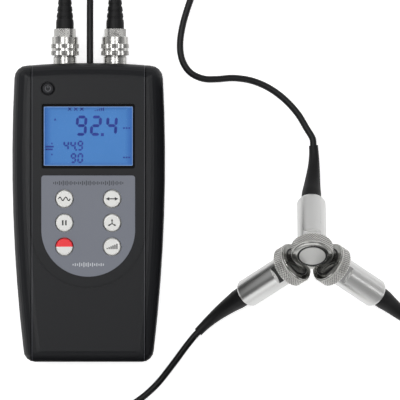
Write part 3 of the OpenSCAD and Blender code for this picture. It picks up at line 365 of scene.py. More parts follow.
for side, route in routes.items():
    tube(f"{side}_lead", route, LEAD_WIDTH, pvc_jacket)
    begins = "right_meter_lead" if side == "right" else f"{side}_plug_lead"
    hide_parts(begins, f"{side}_coil", f"{side}_sensor_lead")
    print(side, "lead", round(run_length(route), 3), "m")

# %% [markdown]
# All three leads end in the boots of their sensors, which belong to the object itself.

print("Three cords made")

# %% [markdown]
# A sensor's boot is moulded rubber that grips the lead. It starts as wide as the case's cable end, narrows
# quickly and then runs thin along the lead, and under the lead's pull it bends down to the table. It is
# the same tube as before, along a cubic bend from the case to the boot's tip, with a radius that falls in
# listed steps. The sensors' places follow from the magnet face that the CAD record names.

# %% Where the sensors are
magnet_face = next(m for m in frame["record"]["mounts"] if m["name"] == "magnet_face")
BASE_RADIUS = 10.85 * MM
SENSOR_LENGTH = 36.5 * MM
CLING = 3 * MM
GAP = 0.1 * MM

top_axis = Vector(magnet_face["axis"]).normalized()
side_up = math.sqrt((1 - top_axis.z ** 2) / 2)
side_out = math.sqrt(0.5 - side_up ** 2)
left_axis = Vector((math.sqrt(0.5), side_out, side_up))
right_axis = Vector((-math.sqrt(0.5), side_out, side_up))
top_face = Vector(magnet_face["pos_m"])
lower = top_face - CLING * top_axis
sensors = {
    "top": (top_face, top_axis, TOP_BOOT),
    "left": (lower - (BASE_RADIUS + GAP) * left_axis, left_axis, LEFT_BOOT),
    "right": (lower - (BASE_RADIUS + GAP) * right_axis, right_axis, RIGHT_BOOT)}
for side, (face, _, _) in sensors.items():
    print(side, "face at", [round(1000 * v, 1) for v in face])

# %% The sensors' boots
BOOT_RADIUS = 5.2 * MM
BOOT_STEPS = 16
BOOT_ARM = 0.36
BOOT_SHARES = ((0, 1), (0.17, 0.97), (0.29, 0.76), (0.5, 0.47), (0.7, 0.21), (0.9, 0.02), (1, 0))


def between(pairs, t):
    """The value at t of a table of (place, value) pairs."""
    for (a, low), (b, high) in zip(pairs, pairs[1:]):
        if t <= b:
            return low + (high - low) * (t - a) / (b - a)
    return pairs[-1][1]


for side, (face, axis, (end, heading)) in sensors.items():
    rim = face - (SENSOR_LENGTH + GAP) * axis
    tip = Vector((*end, BOOT_TIP))
    along = towards(heading)
    arm = BOOT_ARM * (tip - rim).length
    bend = (rim, rim - arm * axis, tip - arm * along, tip)
    points = []
    radii = []
    for i in range(BOOT_STEPS + 1):
        t = i / BOOT_STEPS
        weights = ((1 - t) ** 3, 3 * t * (1 - t) ** 2, 3 * t * t * (1 - t), t ** 3)
        points.append(sum((w * p for w, p in zip(weights, bend)), Vector()))
        radii.append(BOOT_TIP + (BOOT_RADIUS - BOOT_TIP) * between(BOOT_SHARES, t))
    shares = [r / BOOT_RADIUS for r in radii]
    boot = tube(f"{side}_sensor_boot", points, 2 * BOOT_RADIUS, boot_rubber, shares, rounds=10)
    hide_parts(f"{side}_boot")
print("Boots", BOOT_STEPS + 1, "points each")

# %% [markdown]
# Turned parts are made as on a lathe: half the outline of the cross-section is drawn as a few points, and
# bmesh's spin operator takes it once round the axis. The plugs' boots are turned the same way, with ribs
# that let the rubber bend, and then laid along the socket's axis.


# %% A lathe
def lathe(profile, steps=64):
    """A body turned round Z from a half outline of (radius, height) points."""
    bm = bmesh.new()
    verts = [bm.verts.new((r, 0, z)) for r, z in profile]
    edges = [bm.edges.new(pair) for pair in zip(verts, verts[1:])]
    bmesh.ops.spin(
        bm, geom=verts + edges, cent=(0, 0, 0), axis=(0, 0, 1),
        angle=2 * math.pi, steps=steps, use_merge=True)
    bmesh.ops.remove_doubles(bm, verts=bm.verts, dist=MERGE)
    bmesh.ops.recalc_face_normals(bm, faces=bm.faces)
    return bm


def piece(name, bm, body, material, place=None, soft_edge=35):
    """A bmesh as a finished piece in its place, smooth up to that angle, riding on a CAD body."""
    if place is not None:
        bmesh.ops.transform(bm, matrix=place, verts=bm.verts)
    mesh = bpy.data.meshes.new(name)
    bm.to_mesh(mesh)
    bm.free()
    mesh.materials.append(material)
    mesh.shade_smooth()
    mesh.set_sharp_from_angle(angle=math.radians(soft_edge))
    made = new_object(name, mesh)
    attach(made, body)
    return made


def laid_on(face, axis):
    """The place of a piece whose Z runs along an axis and whose origin is at a face."""
    return Matrix.Translation(face) @ axis.to_track_quat("Z", "Y").to_matrix().to_4x4()


print("Lathe ready")

# %% The plugs' boots
PLUG_BOOT_RADIUS = 4.6 * MM
PLUG_BOOT_TIP = 2.5 * MM
PLUG_BOOT_BORE = 3.4 * MM
PLUG_BOOT_SEAT = 7.1 * MM
PLUG_BOOT_COLLAR = 3 * MM
RIBS = 5
RIB_WIDTH = 1.1 * MM
RIB_DEPTH = 0.35 * MM
RIB_EDGE = 0.12 * MM

for side in ("left", "right"):
    low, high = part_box(f"plug_boot_{side}")
    length = high.y - low.y
    fall = (PLUG_BOOT_RADIUS - PLUG_BOOT_TIP) / (length - PLUG_BOOT_COLLAR)
    step = (length - 2 * PLUG_BOOT_COLLAR) / RIBS
    profile = [
        (0, PLUG_BOOT_SEAT), (PLUG_BOOT_BORE, PLUG_BOOT_SEAT), (PLUG_BOOT_BORE, 0),
        (PLUG_BOOT_RADIUS - RIB_EDGE, 0), (PLUG_BOOT_RADIUS, RIB_EDGE),
        (PLUG_BOOT_RADIUS, PLUG_BOOT_COLLAR)]
    for i in range(RIBS):
        z = PLUG_BOOT_COLLAR + (i + 0.5) * step
        r = PLUG_BOOT_RADIUS - fall * (z - PLUG_BOOT_COLLAR)
        profile += [
            (r, z - RIB_EDGE), (r - RIB_EDGE, z), (r - RIB_DEPTH, z), (r - RIB_DEPTH, z + RIB_WIDTH),
            (r - RIB_EDGE, z + RIB_WIDTH), (r - RIB_EDGE / 2, z + RIB_WIDTH + RIB_EDGE)]
    profile += [(PLUG_BOOT_TIP, length - RIB_EDGE), (PLUG_BOOT_TIP - RIB_EDGE, length), (0, length)]
    place = laid_on(Vector(((low.x + high.x) / 2, low.y, (low.z + high.z) / 2)), Vector((0, 1, 0)))
    boot = piece(f"{side}_plug_rubber", lathe(profile), "meter", boot_rubber, place)
    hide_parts(f"plug_boot_{side}")
print("Plug boots", RIBS, "ribs each")

# %% [markdown]
# The magnetic base is a nickel-plated steel cup that screws on to the sensor. Its rim is knurled, so that
# fingers can turn it: two sets of grooves cross and leave rows of little diamonds. A bump texture could
# fake them, but the rim shows in outline, so the grooves are cut into the mesh: the rim is turned with
# many fine rings, and each of its vertices is pulled in by the depth of the groove that runs there. The
# deepest faces of the grooves get a dark metal, which paints the shade that falls into them.

# %% Nickel and steel
nickel = metal("satin_nickel_plate", "#c6c5c2", 0.22, 2.5, 0.001)
knurled_nickel = metal("satin_knurled_nickel", "#dcdbd8", 0.46, 0.8, 0.002)
face_nickel = metal("polished_steel_face", "#b2b2af", 0.16, 3, 0.001)
# The dark groove metal is painted shade: it darkens the knurl's grooves where shade falls.
groove_shade_nickel = metal("painted_groove_shade", "#2c2b2a", 0.42, 0.5, 0.004)
print("Nickel ready")

# %% Magnetic bases
BASE_LENGTH = 7.1 * MM
BASE_EDGE = 0.8 * MM
FACE_RISE = 0.8 * MM
FACE_RADIUS = 10.25 * MM
FACE_EDGE = 0.2 * MM
CUP_RADIUS = 7.75 * MM
CUP_DEPTH = 4.6 * MM
KNURL_START = 6.2 * MM
KNURL_END = 1.5 * MM
KNURL_RINGS = 26
KNURL_COUNT = 50
KNURL_DEPTH = 0.3 * MM
KNURL_FLANK = 1.9
# How deep in a groove a face must lie to get the painted shade.
GROOVE_SHADE_LEVEL = 0.66


def knurl_groove(spot_on):
    """How deep the two crossing sets of grooves are at a place on the rim, from 0 to 1."""
    if not -KNURL_START < spot_on.z < -KNURL_END:
        return 0
    round_rim = math.atan2(spot_on.y, spot_on.x) / (2 * math.pi) * KNURL_COUNT
    up_rim = spot_on.z / (2 * math.pi * BASE_RADIUS / KNURL_COUNT)
    ridges = [1 - abs(2 * ((round_rim + way * up_rim) % 1) - 1) for way in (1, -1)]
    return 1 - min(1, KNURL_FLANK * min(ridges))


def knurled_base():
    """The base with its face at the origin and its back along -Z."""
    ring_step = (KNURL_START - KNURL_END) / KNURL_RINGS
    rings = [(BASE_RADIUS, -KNURL_START + ring_step * i) for i in range(KNURL_RINGS + 1)]
    profile = [
        (0, -CUP_DEPTH), (CUP_RADIUS, -CUP_DEPTH), (CUP_RADIUS, -FACE_EDGE / 2),
        (CUP_RADIUS + FACE_EDGE / 2, 0), (FACE_RADIUS - FACE_EDGE, 0),
        (FACE_RADIUS - FACE_EDGE / 3, -FACE_EDGE / 3), (FACE_RADIUS, -FACE_EDGE),
        (FACE_RADIUS, -FACE_RISE), (BASE_RADIUS - BASE_EDGE / 2, -FACE_RISE),
        (BASE_RADIUS - BASE_EDGE / 8, -FACE_RISE - BASE_EDGE / 6),
        (BASE_RADIUS, -FACE_RISE - BASE_EDGE / 2), *reversed(rings),
        (BASE_RADIUS - BASE_EDGE, -BASE_LENGTH), (0, -BASE_LENGTH)]
    bm = lathe(profile, steps=6 * KNURL_COUNT)
    for vert in bm.verts:
        radius = vert.co.xy.length
        if radius > BASE_RADIUS - GAP:
            vert.co.xy *= 1 - KNURL_DEPTH * knurl_groove(vert.co) / radius
    # Faces on the front get the polished metal, and faces deep in a groove get the dark metal of the
    # painted shade.
    for face in bm.faces:
        spot_on = face.calc_center_median()
        if spot_on.z > -FACE_RISE - GAP / 2:
            face.material_index = 1
        elif knurl_groove(spot_on) > GROOVE_SHADE_LEVEL:
            face.material_index = 2
    return bm


for side, (face, axis, _) in sensors.items():
    place = laid_on(face, axis)
    base = piece(f"{side}_magnet_base", knurled_base(), "meter", knurled_nickel, place, soft_edge=30)
    base.data.materials.append(face_nickel)
    base.data.materials.append(groove_shade_nickel)
    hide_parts(f"{side}_base")
    print(side, "base", len(base.data.polygons), "faces")

# %% [markdown]
# The housing is moulded ABS with a fine sparked grain that scatters the light. The display window is clear
# polycarbonate with a black band round its edge, which paints the shade of the recess wall, and behind it
# lies a liquid crystal display with a blue backlight. The label is a grey polycarbonate film, and the keys
# are white ABS.

# %% Plastics
SHELL_SHINE = 0.26
housing_abs = grained("sparked_black_abs", "#17181c", 0.4, 0.7, 0.008, shine=SHELL_SHINE)
label_film = grained("satin_grey_film", "#747883", 0.42, 0.5, 0.006)
white_abs = grained("satin_white_abs", "#ebebe8", 0.4, 0.8, 0.004)
# A black that paints the shade of the window's recess wall.
recess_shade_black = grained("painted_recess_shade", "#050506", 0.5, 1.5, 0.002, shine=0.1)
dark_ink = grained("dark_grey_ink", "#3a3d45", 0.5, 0.5, 0.002)
pale_ink = grained("pale_grey_ink", "#c9ccd2", 0.5, 0.5, 0.002)
legend_ink = grained("black_legend_ink", "#25262a", 0.5, 0.5, 0.002)
# A pale blue that paints the highlight on the display glass's edge.
edge_highlight_blue = grained("painted_edge_highlight", "#86ade4", 0.4, 1, 0.001)
segment_blue = grained("dark_blue_segments", "#2337a2", 0.5, 0.8, 0.001)


def clear_window():
    """Clear polycarbonate."""
    material, tree, shader = new_material("clear_polycarbonate")
    noise = add(tree, "ShaderNodeTexNoise", {
        "Vector": place_in_object(tree), "Scale": 1 / (9 * MM), "Detail": 1.0})
    haze = add(tree, "ShaderNodeMapRange", {"Value": noise.outputs[0], "To Min": 0.02, "To Max": 0.06})
    tree.links.new(haze.outputs["Result"], shader.inputs["Roughness"])
    shader.inputs["Base Color"].default_value = linear("#f2f6fa")
    shader.inputs["Transmission Weight"].default_value = 1.0
    shader.inputs["IOR"].default_value = 1.1
    return material


polycarbonate = clear_window()
print("Plastics ready")

# %% [markdown]
# A narrow groove runs down each side of the front panel. Seen from above it shows as a dark line with a
# light edge beside it, where the panel's rounded rim catches the light. The front shell gets its own
# plastic for that: a ramp over the distance from the middle plane chooses the tone, which paints the
# shade in the groove and the highlight on the rim, and a second one takes the shine out of the groove
# and raises it on the rim.

# %% Front shell plastic
PANEL_SPAN = 40 * MM
RIM_START = 28.6 * MM
GROOVE_START = 29.0 * MM
GROOVE_END = 29.55 * MM
SHELL_TONE = "#18191c"
# The rim's light tone is a painted highlight on the panel's rounded rim, and the groove's black tone is
# painted shade.
RIM_HIGHLIGHT_TONE = "#46474c"
GROOVE_SHADE_TONE = "#0b0b0d"
RIM_SHINE = 0.4
GROOVE_SHINE = 0.1


def front_plastic():
    """The housing's plastic, with painted shade in the groove and a painted highlight on the rim along the
    panel's sides.
    """
    material = housing_abs.copy()
    material.name = "sparked_black_abs_front"
    tree = material.node_tree
    shader = tree.nodes["Principled BSDF"]
    source = add(tree, "ShaderNodeTexCoord")
    parts = add(tree, "ShaderNodeSeparateXYZ", {"Vector": source.outputs["Object"]})
    share = maths(tree, "MULTIPLY", maths(tree, "ABSOLUTE", parts.outputs["X"]), 1 / PANEL_SPAN)
    places = [start / PANEL_SPAN for start in (0, RIM_START, GROOVE_START, GROOVE_END)]
    tones = [linear(code) for code in (SHELL_TONE, RIM_HIGHLIGHT_TONE, GROOVE_SHADE_TONE, SHELL_TONE)]
    shines = [grey(level) for level in (SHELL_SHINE, RIM_SHINE, GROOVE_SHINE, SHELL_SHINE)]
    for socket, values in (("Base Color", tones), ("Specular IOR Level", shines)):
        stops = list(zip(places, values))
        tree.links.new(ramp(tree, share, stops, blend="CONSTANT"), shader.inputs[socket])
    return material


front_abs = front_plastic()
print("Front shell plastic ready")

# %% [markdown]
# The red and white key is one cap in two colours, split straight across its middle. A step on the height
# within the object chooses the colour.


# %% Two-colour cap
def two_colour_cap(split):
    """White ABS below a height in the object, red above it."""
    material, tree, shader = new_material("red_and_white_abs")
    where = place_in_object(tree)
    parts = add(tree, "ShaderNodeSeparateXYZ", {"Vector": where})
    step = maths(tree, "GREATER_THAN", parts.outputs["Y"], split)
    paint = ramp(tree, step, ((0, linear("#ebebe8")), (1, linear("#fa2431"))))
    tree.links.new(paint, shader.inputs["Base Color"])
    noise = add(tree, "ShaderNodeTexNoise", {"Vector": where, "Scale": 1 / (0.8 * MM)})
    bump = add(tree, "ShaderNodeBump", {"Height": noise.outputs[0], "Distance": 0.004 * MM})
    tree.links.new(bump.outputs["Normal"], shader.inputs["Normal"])
    shader.inputs["Roughness"].default_value = 0.4
    return material


def middle(node):
    """The middle of a CAD node's box."""
    low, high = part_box(node)
    return (low + high) / 2


red_white_abs = two_colour_cap(middle("key_5").y)
print("Cap splits at", round(1000 * middle("key_5").y, 2), "mm")

# %% [markdown]
# The display shows plain seven-segment numbers. The glass itself glows: the backlight comes through
# evenly, so the blue is an emission as well as a colour, and a little deeper blue towards the edges paints
# shade there.

# %% Display glass
DISPLAY_PAINT = 0.3
DISPLAY_GLOW = 0.7


def backlit_blue():
    """Blue display glass, deeper at its edges with painted shade."""
    material, tree, shader = new_material("backlit_blue_display")
    centre = middle("lcd_glass")
    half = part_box("lcd_glass")[1] - centre
    source = add(tree, "ShaderNodeTexCoord")
    mapping = add(tree, "ShaderNodeMapping", {
        "Vector": source.outputs["Object"], "Location": (-centre.x / half.x, -centre.y / half.y, 0),
        "Scale": (1 / half.x, 1 / half.y, 0)})
    parts = add(tree, "ShaderNodeSeparateXYZ", {"Vector": mapping.outputs["Vector"]})
    edge = maths(tree, "MAXIMUM", *(maths(tree, "ABSOLUTE", parts.outputs[way]) for way in "XY"))
    # The deeper blue towards the edges is painted shade.
    tint = ramp(tree, edge, ((0.76, linear("#558ccd")), (0.97, linear("#3462b6"))))
    dim = add(tree, "ShaderNodeVectorMath", {0: tint, "Scale": DISPLAY_PAINT}, operation="SCALE")
    tree.links.new(dim.outputs["Vector"], shader.inputs["Base Color"])
    tree.links.new(tint, shader.inputs["Emission Color"])
    shader.inputs["Emission Strength"].default_value = DISPLAY_GLOW
    shader.inputs["Roughness"].default_value = 0.4
    shader.inputs["Specular IOR Level"].default_value = 0.1
    return material


display_blue = backlit_blue()
print("Display ready")

# %% [markdown]
# Printed marks are thin plates. A seven-segment digit is drawn from seven bars with pointed ends, each a
# single six-cornered face that the extrude operator gives its small thickness. Bars and strokes of any
# direction come from one helper.

# %% Flat marks
INK = 0.03 * MM
LEAN = 0.06


def thicken(bm, faces, thickness):
    """Extrudes flat faces upwards."""
    raised = bmesh.ops.extrude_face_region(bm, geom=faces)
    tops = [v for v in raised["geom"] if isinstance(v, bmesh.types.BMVert)]
    bmesh.ops.translate(bm, verts=tops, vec=(0, 0, thickness))


def flat_mark(bm, corners, height, thickness=INK):
    """A thin plate with those corners, standing on that height."""
    face = bm.faces.new([bm.verts.new((x, y, height)) for x, y in corners])
    if face.normal.z < 0:
        face.normal_flip()
    thicken(bm, [face], thickness)


def stroke(bm, start, end, width, height, thickness=INK):
    """A straight bar from start to end with square ends."""
    a, b = Vector(start), Vector(end)
    side = (b - a).normalized().orthogonal() * width / 2
    flat_mark(bm, [a - side, b - side, b + side, a + side], height, thickness)


def bar(bm, a, b, width, height):
    """A leaning bar from a to b with pointed ends."""
    along = (b - a).normalized() * width / 2
    side = along.orthogonal()
    corners = [a, a + along - side, b - along - side, b, b - along + side, a + along + side]
    flat_mark(bm, [(c.x + LEAN * c.y, c.y) for c in corners], height)


print("Marks ready")

# %% Seven-segment digits
SEGMENTS = {"0": "abcdef", "2": "abdeg", "4": "bcfg", "9": "abcdfg"}
DIGIT_GAP = 0.12
PIXEL = 0.517 * MM
PIXEL_ORIGIN = (89.05, 212.3)


def spot(u, v):
    """The place on the meter of a pixel of the picture."""
    return Vector(((u - PIXEL_ORIGIN[0]) * PIXEL, (PIXEL_ORIGIN[1] - v) * PIXEL))


def digit(bm, which, corner, size, width, height):
    """One digit: corner is its lower left end and size its width and height."""
    right, high = size
    mid = high / 2
    ends = {
        "a": ((0, high), (right, high)), "d": ((0, 0), (right, 0)), "g": ((0, mid), (right, mid)),
        "f": ((0, mid), (0, high)), "e": ((0, 0), (0, mid)),
        "b": ((right, mid), (right, high)), "c": ((right, 0), (right, mid))}
    for name in SEGMENTS[which]:
        start, end = (corner + Vector(p) for p in ends[name])
        along = (end - start).normalized() * DIGIT_GAP * width
        offset = Vector((-LEAN * corner.y, 0))
        bar(bm, start + along + offset, end - along + offset, width, height)


glass_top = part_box("lcd_glass")[1].z
display = bmesh.new()
BIG = (4.3 * MM, 8.9 * MM)
BIG_WIDTH = 1.5 * MM
SMALL = (2.1 * MM, 4.3 * MM)
SMALL_WIDTH = 0.88 * MM
for v, size, width, row in (
        (134.6, BIG, BIG_WIDTH, (("9", 77.4), ("2", 91.9), ("4", 107.6))),
        (150.0, SMALL, SMALL_WIDTH, (("4", 64.7), ("4", 71.5), ("9", 78.7))),
        (162.4, SMALL, SMALL_WIDTH, (("9", 71.9), ("0", 78.7)))):
    for which, u in row:
        digit(display, which, spot(u, v), size, width, glass_top)
for u, v, size in ((103, 134.9, BIG_WIDTH), (76.9, 150.1, SMALL_WIDTH)):
    point = spot(u, v)
    stroke(display, point - Vector((size / 2, 0)), point + Vector((size / 2, 0)), size, glass_top)
print("Digits", len(display.faces), "faces")

# %% [markdown]
# Round the numbers the display has small signs. They are plain shapes here: crosses, a rising scale,
# triangles, two bars and rows of dashes.


# %% Display signs
def triangle(bm, centre, size, up, height):
    """A small triangle pointing up or down."""
    x, y = centre
    half = size / 2
    flat_mark(bm, [(x - half, y - up * half), (x + half, y - up * half), (x, y + up * half)], height)


for u in (70.5, 76.5, 82.5):
    for lift in (-1.6, 1.6):
        stroke(display, spot(u - 1.7, 109.5 + lift), spot(u + 1.7, 109.5 - lift), 0.5 * MM, glass_top)
for i in range(5):
    stroke(display, spot(96 + 2 * i, 111.4), spot(96 + 2 * i, 110.5 - 0.7 * i), 0.6 * MM, glass_top)
for u, v, size, up in ((56, 119.6, 1.3, 1), (52.8, 143.4, 1.1, 1), (52.8, 155, 1.1, -1)):
    triangle(display, spot(u, v), size * MM, up, glass_top)
for i, v in enumerate((146.8, 149.6)):
    stroke(display, spot(46.5, v), spot(54.6 - i, v), 0.85 * MM, glass_top)
for v in (128.4, 157.6):
    for i in range(3):
        stroke(display, spot(123.6 + 2.6 * i, v), spot(125.4 + 2.6 * i, v), 0.8 * MM, glass_top)
signs = piece("display_segments", display, "meter", segment_blue)
print("Display segments", len(signs.data.polygons), "faces")

# %% [markdown]
# The window gets a black border, which paints the shade of the recess wall round it, and just inside it a
# thin pale line paints the highlight on the display glass's edge. Both are made alike: a rectangle with
# rounded corners is inset, its middle face is deleted, and the ring left gets a small thickness.

# %% Window border
BORDER_SIDE = 1.85 * MM
BORDER_END = 2.2 * MM
BORDER_CORNER = 2.2 * MM
LINE_WIDTH = 0.3 * MM
WINDOW_LAP = 0.9 * MM
window_low, window_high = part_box("lcd_window")
window_top = Vector((*middle("lcd_window").xy, window_high.z))


def rectangle(width, length):
    """A bmesh with one level rectangle round the origin."""
    bm = bmesh.new()
    bmesh.ops.create_grid(bm, x_segments=1, y_segments=1, size=0.5)
    bmesh.ops.scale(bm, verts=bm.verts, vec=(width, length, 1))
    return bm


def rounded_ring(name, size, corner, side, end, material):
    """A thin flat ring on the window: its outer size, and its width at the sides and ends."""
    bm = rectangle(*size.xy)
    bmesh.ops.bevel(
        bm, geom=bm.verts[:], offset=corner, segments=6, affect="VERTICES", profile=0.5, material=-1)
    bmesh.ops.inset_individual(bm, faces=bm.faces[:], thickness=side, use_even_offset=True)
    inner = max(bm.faces, key=lambda f: f.calc_area())
    squeeze = (size[1] - 2 * end) / (size[1] - 2 * side)
    bmesh.ops.scale(bm, verts=inner.verts[:], vec=(1, squeeze, 1))
    bmesh.ops.delete(bm, geom=[inner], context="FACES")
    thicken(bm, bm.faces[:], INK)
    bmesh.ops.recalc_face_normals(bm, faces=bm.faces)
    ring = piece(name, bm, "meter", material, Matrix.Translation(window_top))
    print(name, len(ring.data.polygons), "faces")


border_size = window_high - window_low - Vector((2 * WINDOW_LAP, 2 * WINDOW_LAP, 0))
line_size = border_size - 2 * Vector((BORDER_SIDE, BORDER_END, 0))
line_corner = BORDER_CORNER - BORDER_SIDE
# Painted shade round the window, and a painted highlight along the display's edge.
rounded_ring("window_recess_shade", border_size, BORDER_CORNER, BORDER_SIDE, BORDER_END, recess_shade_black)
rounded_ring("display_edge_highlight", line_size, line_corner, LINE_WIDTH, LINE_WIDTH, edge_highlight_blue)

# %% [markdown]
# The keys carry small signs instead of words: a wave, a double arrow, a pause, three axes and a rising
# scale. Each is drawn with the stroke helper round the middle of its cap, and rides on that key, so that
# it goes down with it.

# %% Key signs
STROKE = 0.5 * MM
WAVE_STEPS = 16


def arrow(bm, tail, head, size, height):
    """A straight arrow."""
    along = (head - tail).normalized() * size
    side = along.orthogonal() / 2
    stroke(bm, tail, head - along, STROKE, height)
    flat_mark(bm, [head - along - side, head, head - along + side], height)


def draw_wave(bm, c, top):
    points = []
    for i in range(WAVE_STEPS + 1):
        share = i / WAVE_STEPS
        points.append(c + Vector((6 * MM * (share - 0.5), 0.9 * MM * math.sin(4 * math.pi * share))))
    for a, b in zip(points, points[1:]):
        along = (b - a).normalized() * STROKE / 4
        stroke(bm, a - along, b + along, STROKE, top)


def draw_arrows(bm, c, top):
    for way in (MM, -MM):
        arrow(bm, c - Vector((0.2 * way, 0)), c + Vector((3.2 * way, 0)), 1.8 * MM, top)


def draw_pause(bm, c, top):
    for x in (-0.8 * MM, 0.8 * MM):
        stroke(bm, c + Vector((x, -1.3 * MM)), c + Vector((x, 1.3 * MM)), 0.8 * MM, top)


def draw_axes(bm, c, top):
    foot = c + Vector((0, -0.4 * MM))
    for angle in (90, 210, 330):
        arrow(bm, foot, foot + 2.5 * MM * towards(angle).xy, 1.1 * MM, top)


def draw_scale(bm, c, top):
    for i in range(6):
        x = (i - 2.5) * MM
        stroke(bm, c + Vector((x, -1.2 * MM)), c + Vector((x, (-0.6 + 0.42 * i) * MM)), 0.6 * MM, top)


for key, draw in (
        ("key_1", draw_wave), ("key_2", draw_arrows), ("key_3", draw_pause), ("key_4", draw_axes),
        ("key_6", draw_scale)):
    bm = bmesh.new()
    draw(bm, middle(key).xy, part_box(key)[1].z)
    sign = piece(f"{key}_sign", bm, key.replace("key_", "button_"), legend_ink)
print("Key signs ready")

# %% [markdown]
# Above the keys the label has a printed trace of a vibration, and below them a short pale one. Both are
# rows of upright bars whose heights follow a burst that swells and dies away.

# %% Label prints
label_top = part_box("face_label")[1].z
TRACE_SHARES = (0.35, 0.6, 0.45, 0.85, 0.55, 1.0, 0.7, 0.95, 0.5, 0.8, 0.4, 0.65)


def trace(name, centre, width, rise, bars, ink):
    """A row of upright bars across the label."""
    bm = bmesh.new()
    for i in range(bars):
        x = centre[0] + (i / (bars - 1) - 0.5) * width
        tall = rise * TRACE_SHARES[i % len(TRACE_SHARES)]
        stroke(bm, (x, centre[1] - tall / 2), (x, centre[1] + tall / 2), 0.5 * width / bars, label_top)
    made = piece(name, bm, "meter", ink)


trace("label_trace", (0, 15.1 * MM), 35.5 * MM, 2.6 * MM, 37, dark_ink)
trace("label_short_trace", (0, -26.8 * MM), 15.5 * MM, 2.5 * MM, 15, pale_ink)
print("Label prints ready")

# %% [markdown]
# The power key is moulded in the housing's plastic, with its sign raised on it: a ring that is open at the
# top and a short bar. The ring is a small rectangle taken most of the way round by the spin operator.

# %% Power sign
power_top = Vector((*middle("power_key").xy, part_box("power_key")[1].z))
RING_RADIUS = 1.35 * MM
RING_LINE = 0.4 * MM
RING_OPEN = 70
SIGN_RISE = 0.15 * MM

power = bmesh.new()
turn = Matrix.Rotation(math.radians(90 + RING_OPEN / 2), 3, "Z")
section = [
    power.verts.new(turn @ Vector((RING_RADIUS + x * RING_LINE / 2, 0, z * SIGN_RISE)))
    for x, z in ((-1, 0), (1, 0), (1, 1), (-1, 1))]
bmesh.ops.spin(
    power, geom=[power.faces.new(section)], cent=(0, 0, 0), axis=(0, 0, 1),
    angle=math.radians(360 - RING_OPEN), steps=24)
bmesh.ops.recalc_face_normals(power, faces=power.faces)
stroke(power, (0, 0.3 * MM), (0, 1.8 * MM), RING_LINE, 0, SIGN_RISE)
relief_grey = grained("worn_grey_relief", "#515257", 0.45, 0.7, 0.01)
power_sign = piece("power_sign", power, "power_button", relief_grey, Matrix.Translation(power_top))
print("Power sign", len(power_sign.data.polygons), "faces")

# %% [markdown]
# The sensors' cases are turned stainless steel with a satin finish. Turning leaves very fine rings round
# the axis, which stretch a highlight along the case. The noise is squeezed along each case's own axis, so
# each case has its own turn of the same finish. The pole discs are ground flat, and the joint round them
# is filled with black resin. The lower two sensors' discs are lapped like mirrors, and their steel is
# given a darker colour than the top disc's, which paints the shade they lie in under the top sensor.


# %% Metals
def turned_steel(name, axis):
    """Satin stainless steel with fine rings round an axis."""
    turn = axis.to_track_quat("Z", "Y").to_euler()
    return metal(
        name, "#d2d2d1", 0.33, grain=0.3, depth=0.0001, spread=0.03, turn=turn, stretch=(40, 40, 1))


case_steel = {side: turned_steel(f"turned_steel_{side}", sensors[side][1]) for side in sensors}
pole_steel = metal("ground_pole_steel", "#d6d6d4", 0.42, 0.5, 0.006)
# The same steel as the top pole, darker in colour: painted shade for the lower two discs.
lapped_shaded_steel = metal("lapped_pole_steel_painted_shade", "#8e8e8c", 0.16, 3, 0.001)
black_resin = grained("black_sealing_resin", "#0b0b0c", 0.35, 0.8, 0.01)
gold_plate = metal("gold_plate", "#d9b56a", 0.25, 1, 0.002)
spring_steel = metal("plated_spring_steel", "#c4c3c0", 0.3, 1, 0.003)
black_screw = metal("blackened_screw_steel", "#3a3b3d", 0.38, 0.8, 0.006)
magnet_alloy = metal("sintered_magnet", "#5b5c60", 0.5, 0.4, 0.01)
print("Metals ready")

# %% [markdown]
# The wrench flats are milled, so they're smoother than the turned barrel and mirror what stands before
# them. They're found on each case as its largest faces. All that lies in the plane of such a face is made
# smooth.

# %% Wrench flats
FLAT_AREA = 15 * MM ** 2
FLAT_BAND = 0.02 * MM
FLAT_ROUGHNESS = 0.14
for side, steel in case_steel.items():
    tree = steel.node_tree
    rough = tree.nodes["Principled BSDF"].inputs["Roughness"]
    where = place_in_object(tree)
    faces = [face for face in frame["nodes"][f"{side}_case"].data.polygons if face.area > FLAT_AREA]
    for face in faces:
        dot = add(tree, "ShaderNodeVectorMath", {0: where, 1: face.normal}, operation="DOT_PRODUCT")
        flat = maths(tree, "COMPARE", dot.outputs["Value"], face.normal.dot(face.center), FLAT_BAND)
        smooth = add(tree, "ShaderNodeMix", {0: flat, 2: rough.links[0].from_socket, 3: FLAT_ROUGHNESS})
        tree.links.new(smooth.outputs[0], rough)
    print("Wrench flats", side, len(faces), "faces")

# %% Inner materials
ceramic = grained("silvered_ceramic", "#d9d4c6", 0.5, 0.4, 0.005)
ptfe = grained("turned_ptfe", "#ecebe6", 0.4, 0.8, 0.003)
silicone = grained("moulded_silicone", "#77787a", 0.6, 0.6, 0.008)
solder_mask = grained("green_solder_mask", "#1d5a34", 0.35, 0.9, 0.01)
chip_resin = grained("black_chip_resin", "#1f2023", 0.5, 0.4, 0.01)
cell_sleeve = grained("printed_cell_sleeve", "#a8813a", 0.32, 2, 0.003)
diffuser = grained("opal_diffuser", "#e9eef4", 0.5, 1, 0.002)
nylon = grained("black_nylon", "#17181a", 0.42, 0.7, 0.01)
print("Inner materials ready")

# %% [markdown]
# Each CAD node that no detailed piece replaces gets its finish by name.

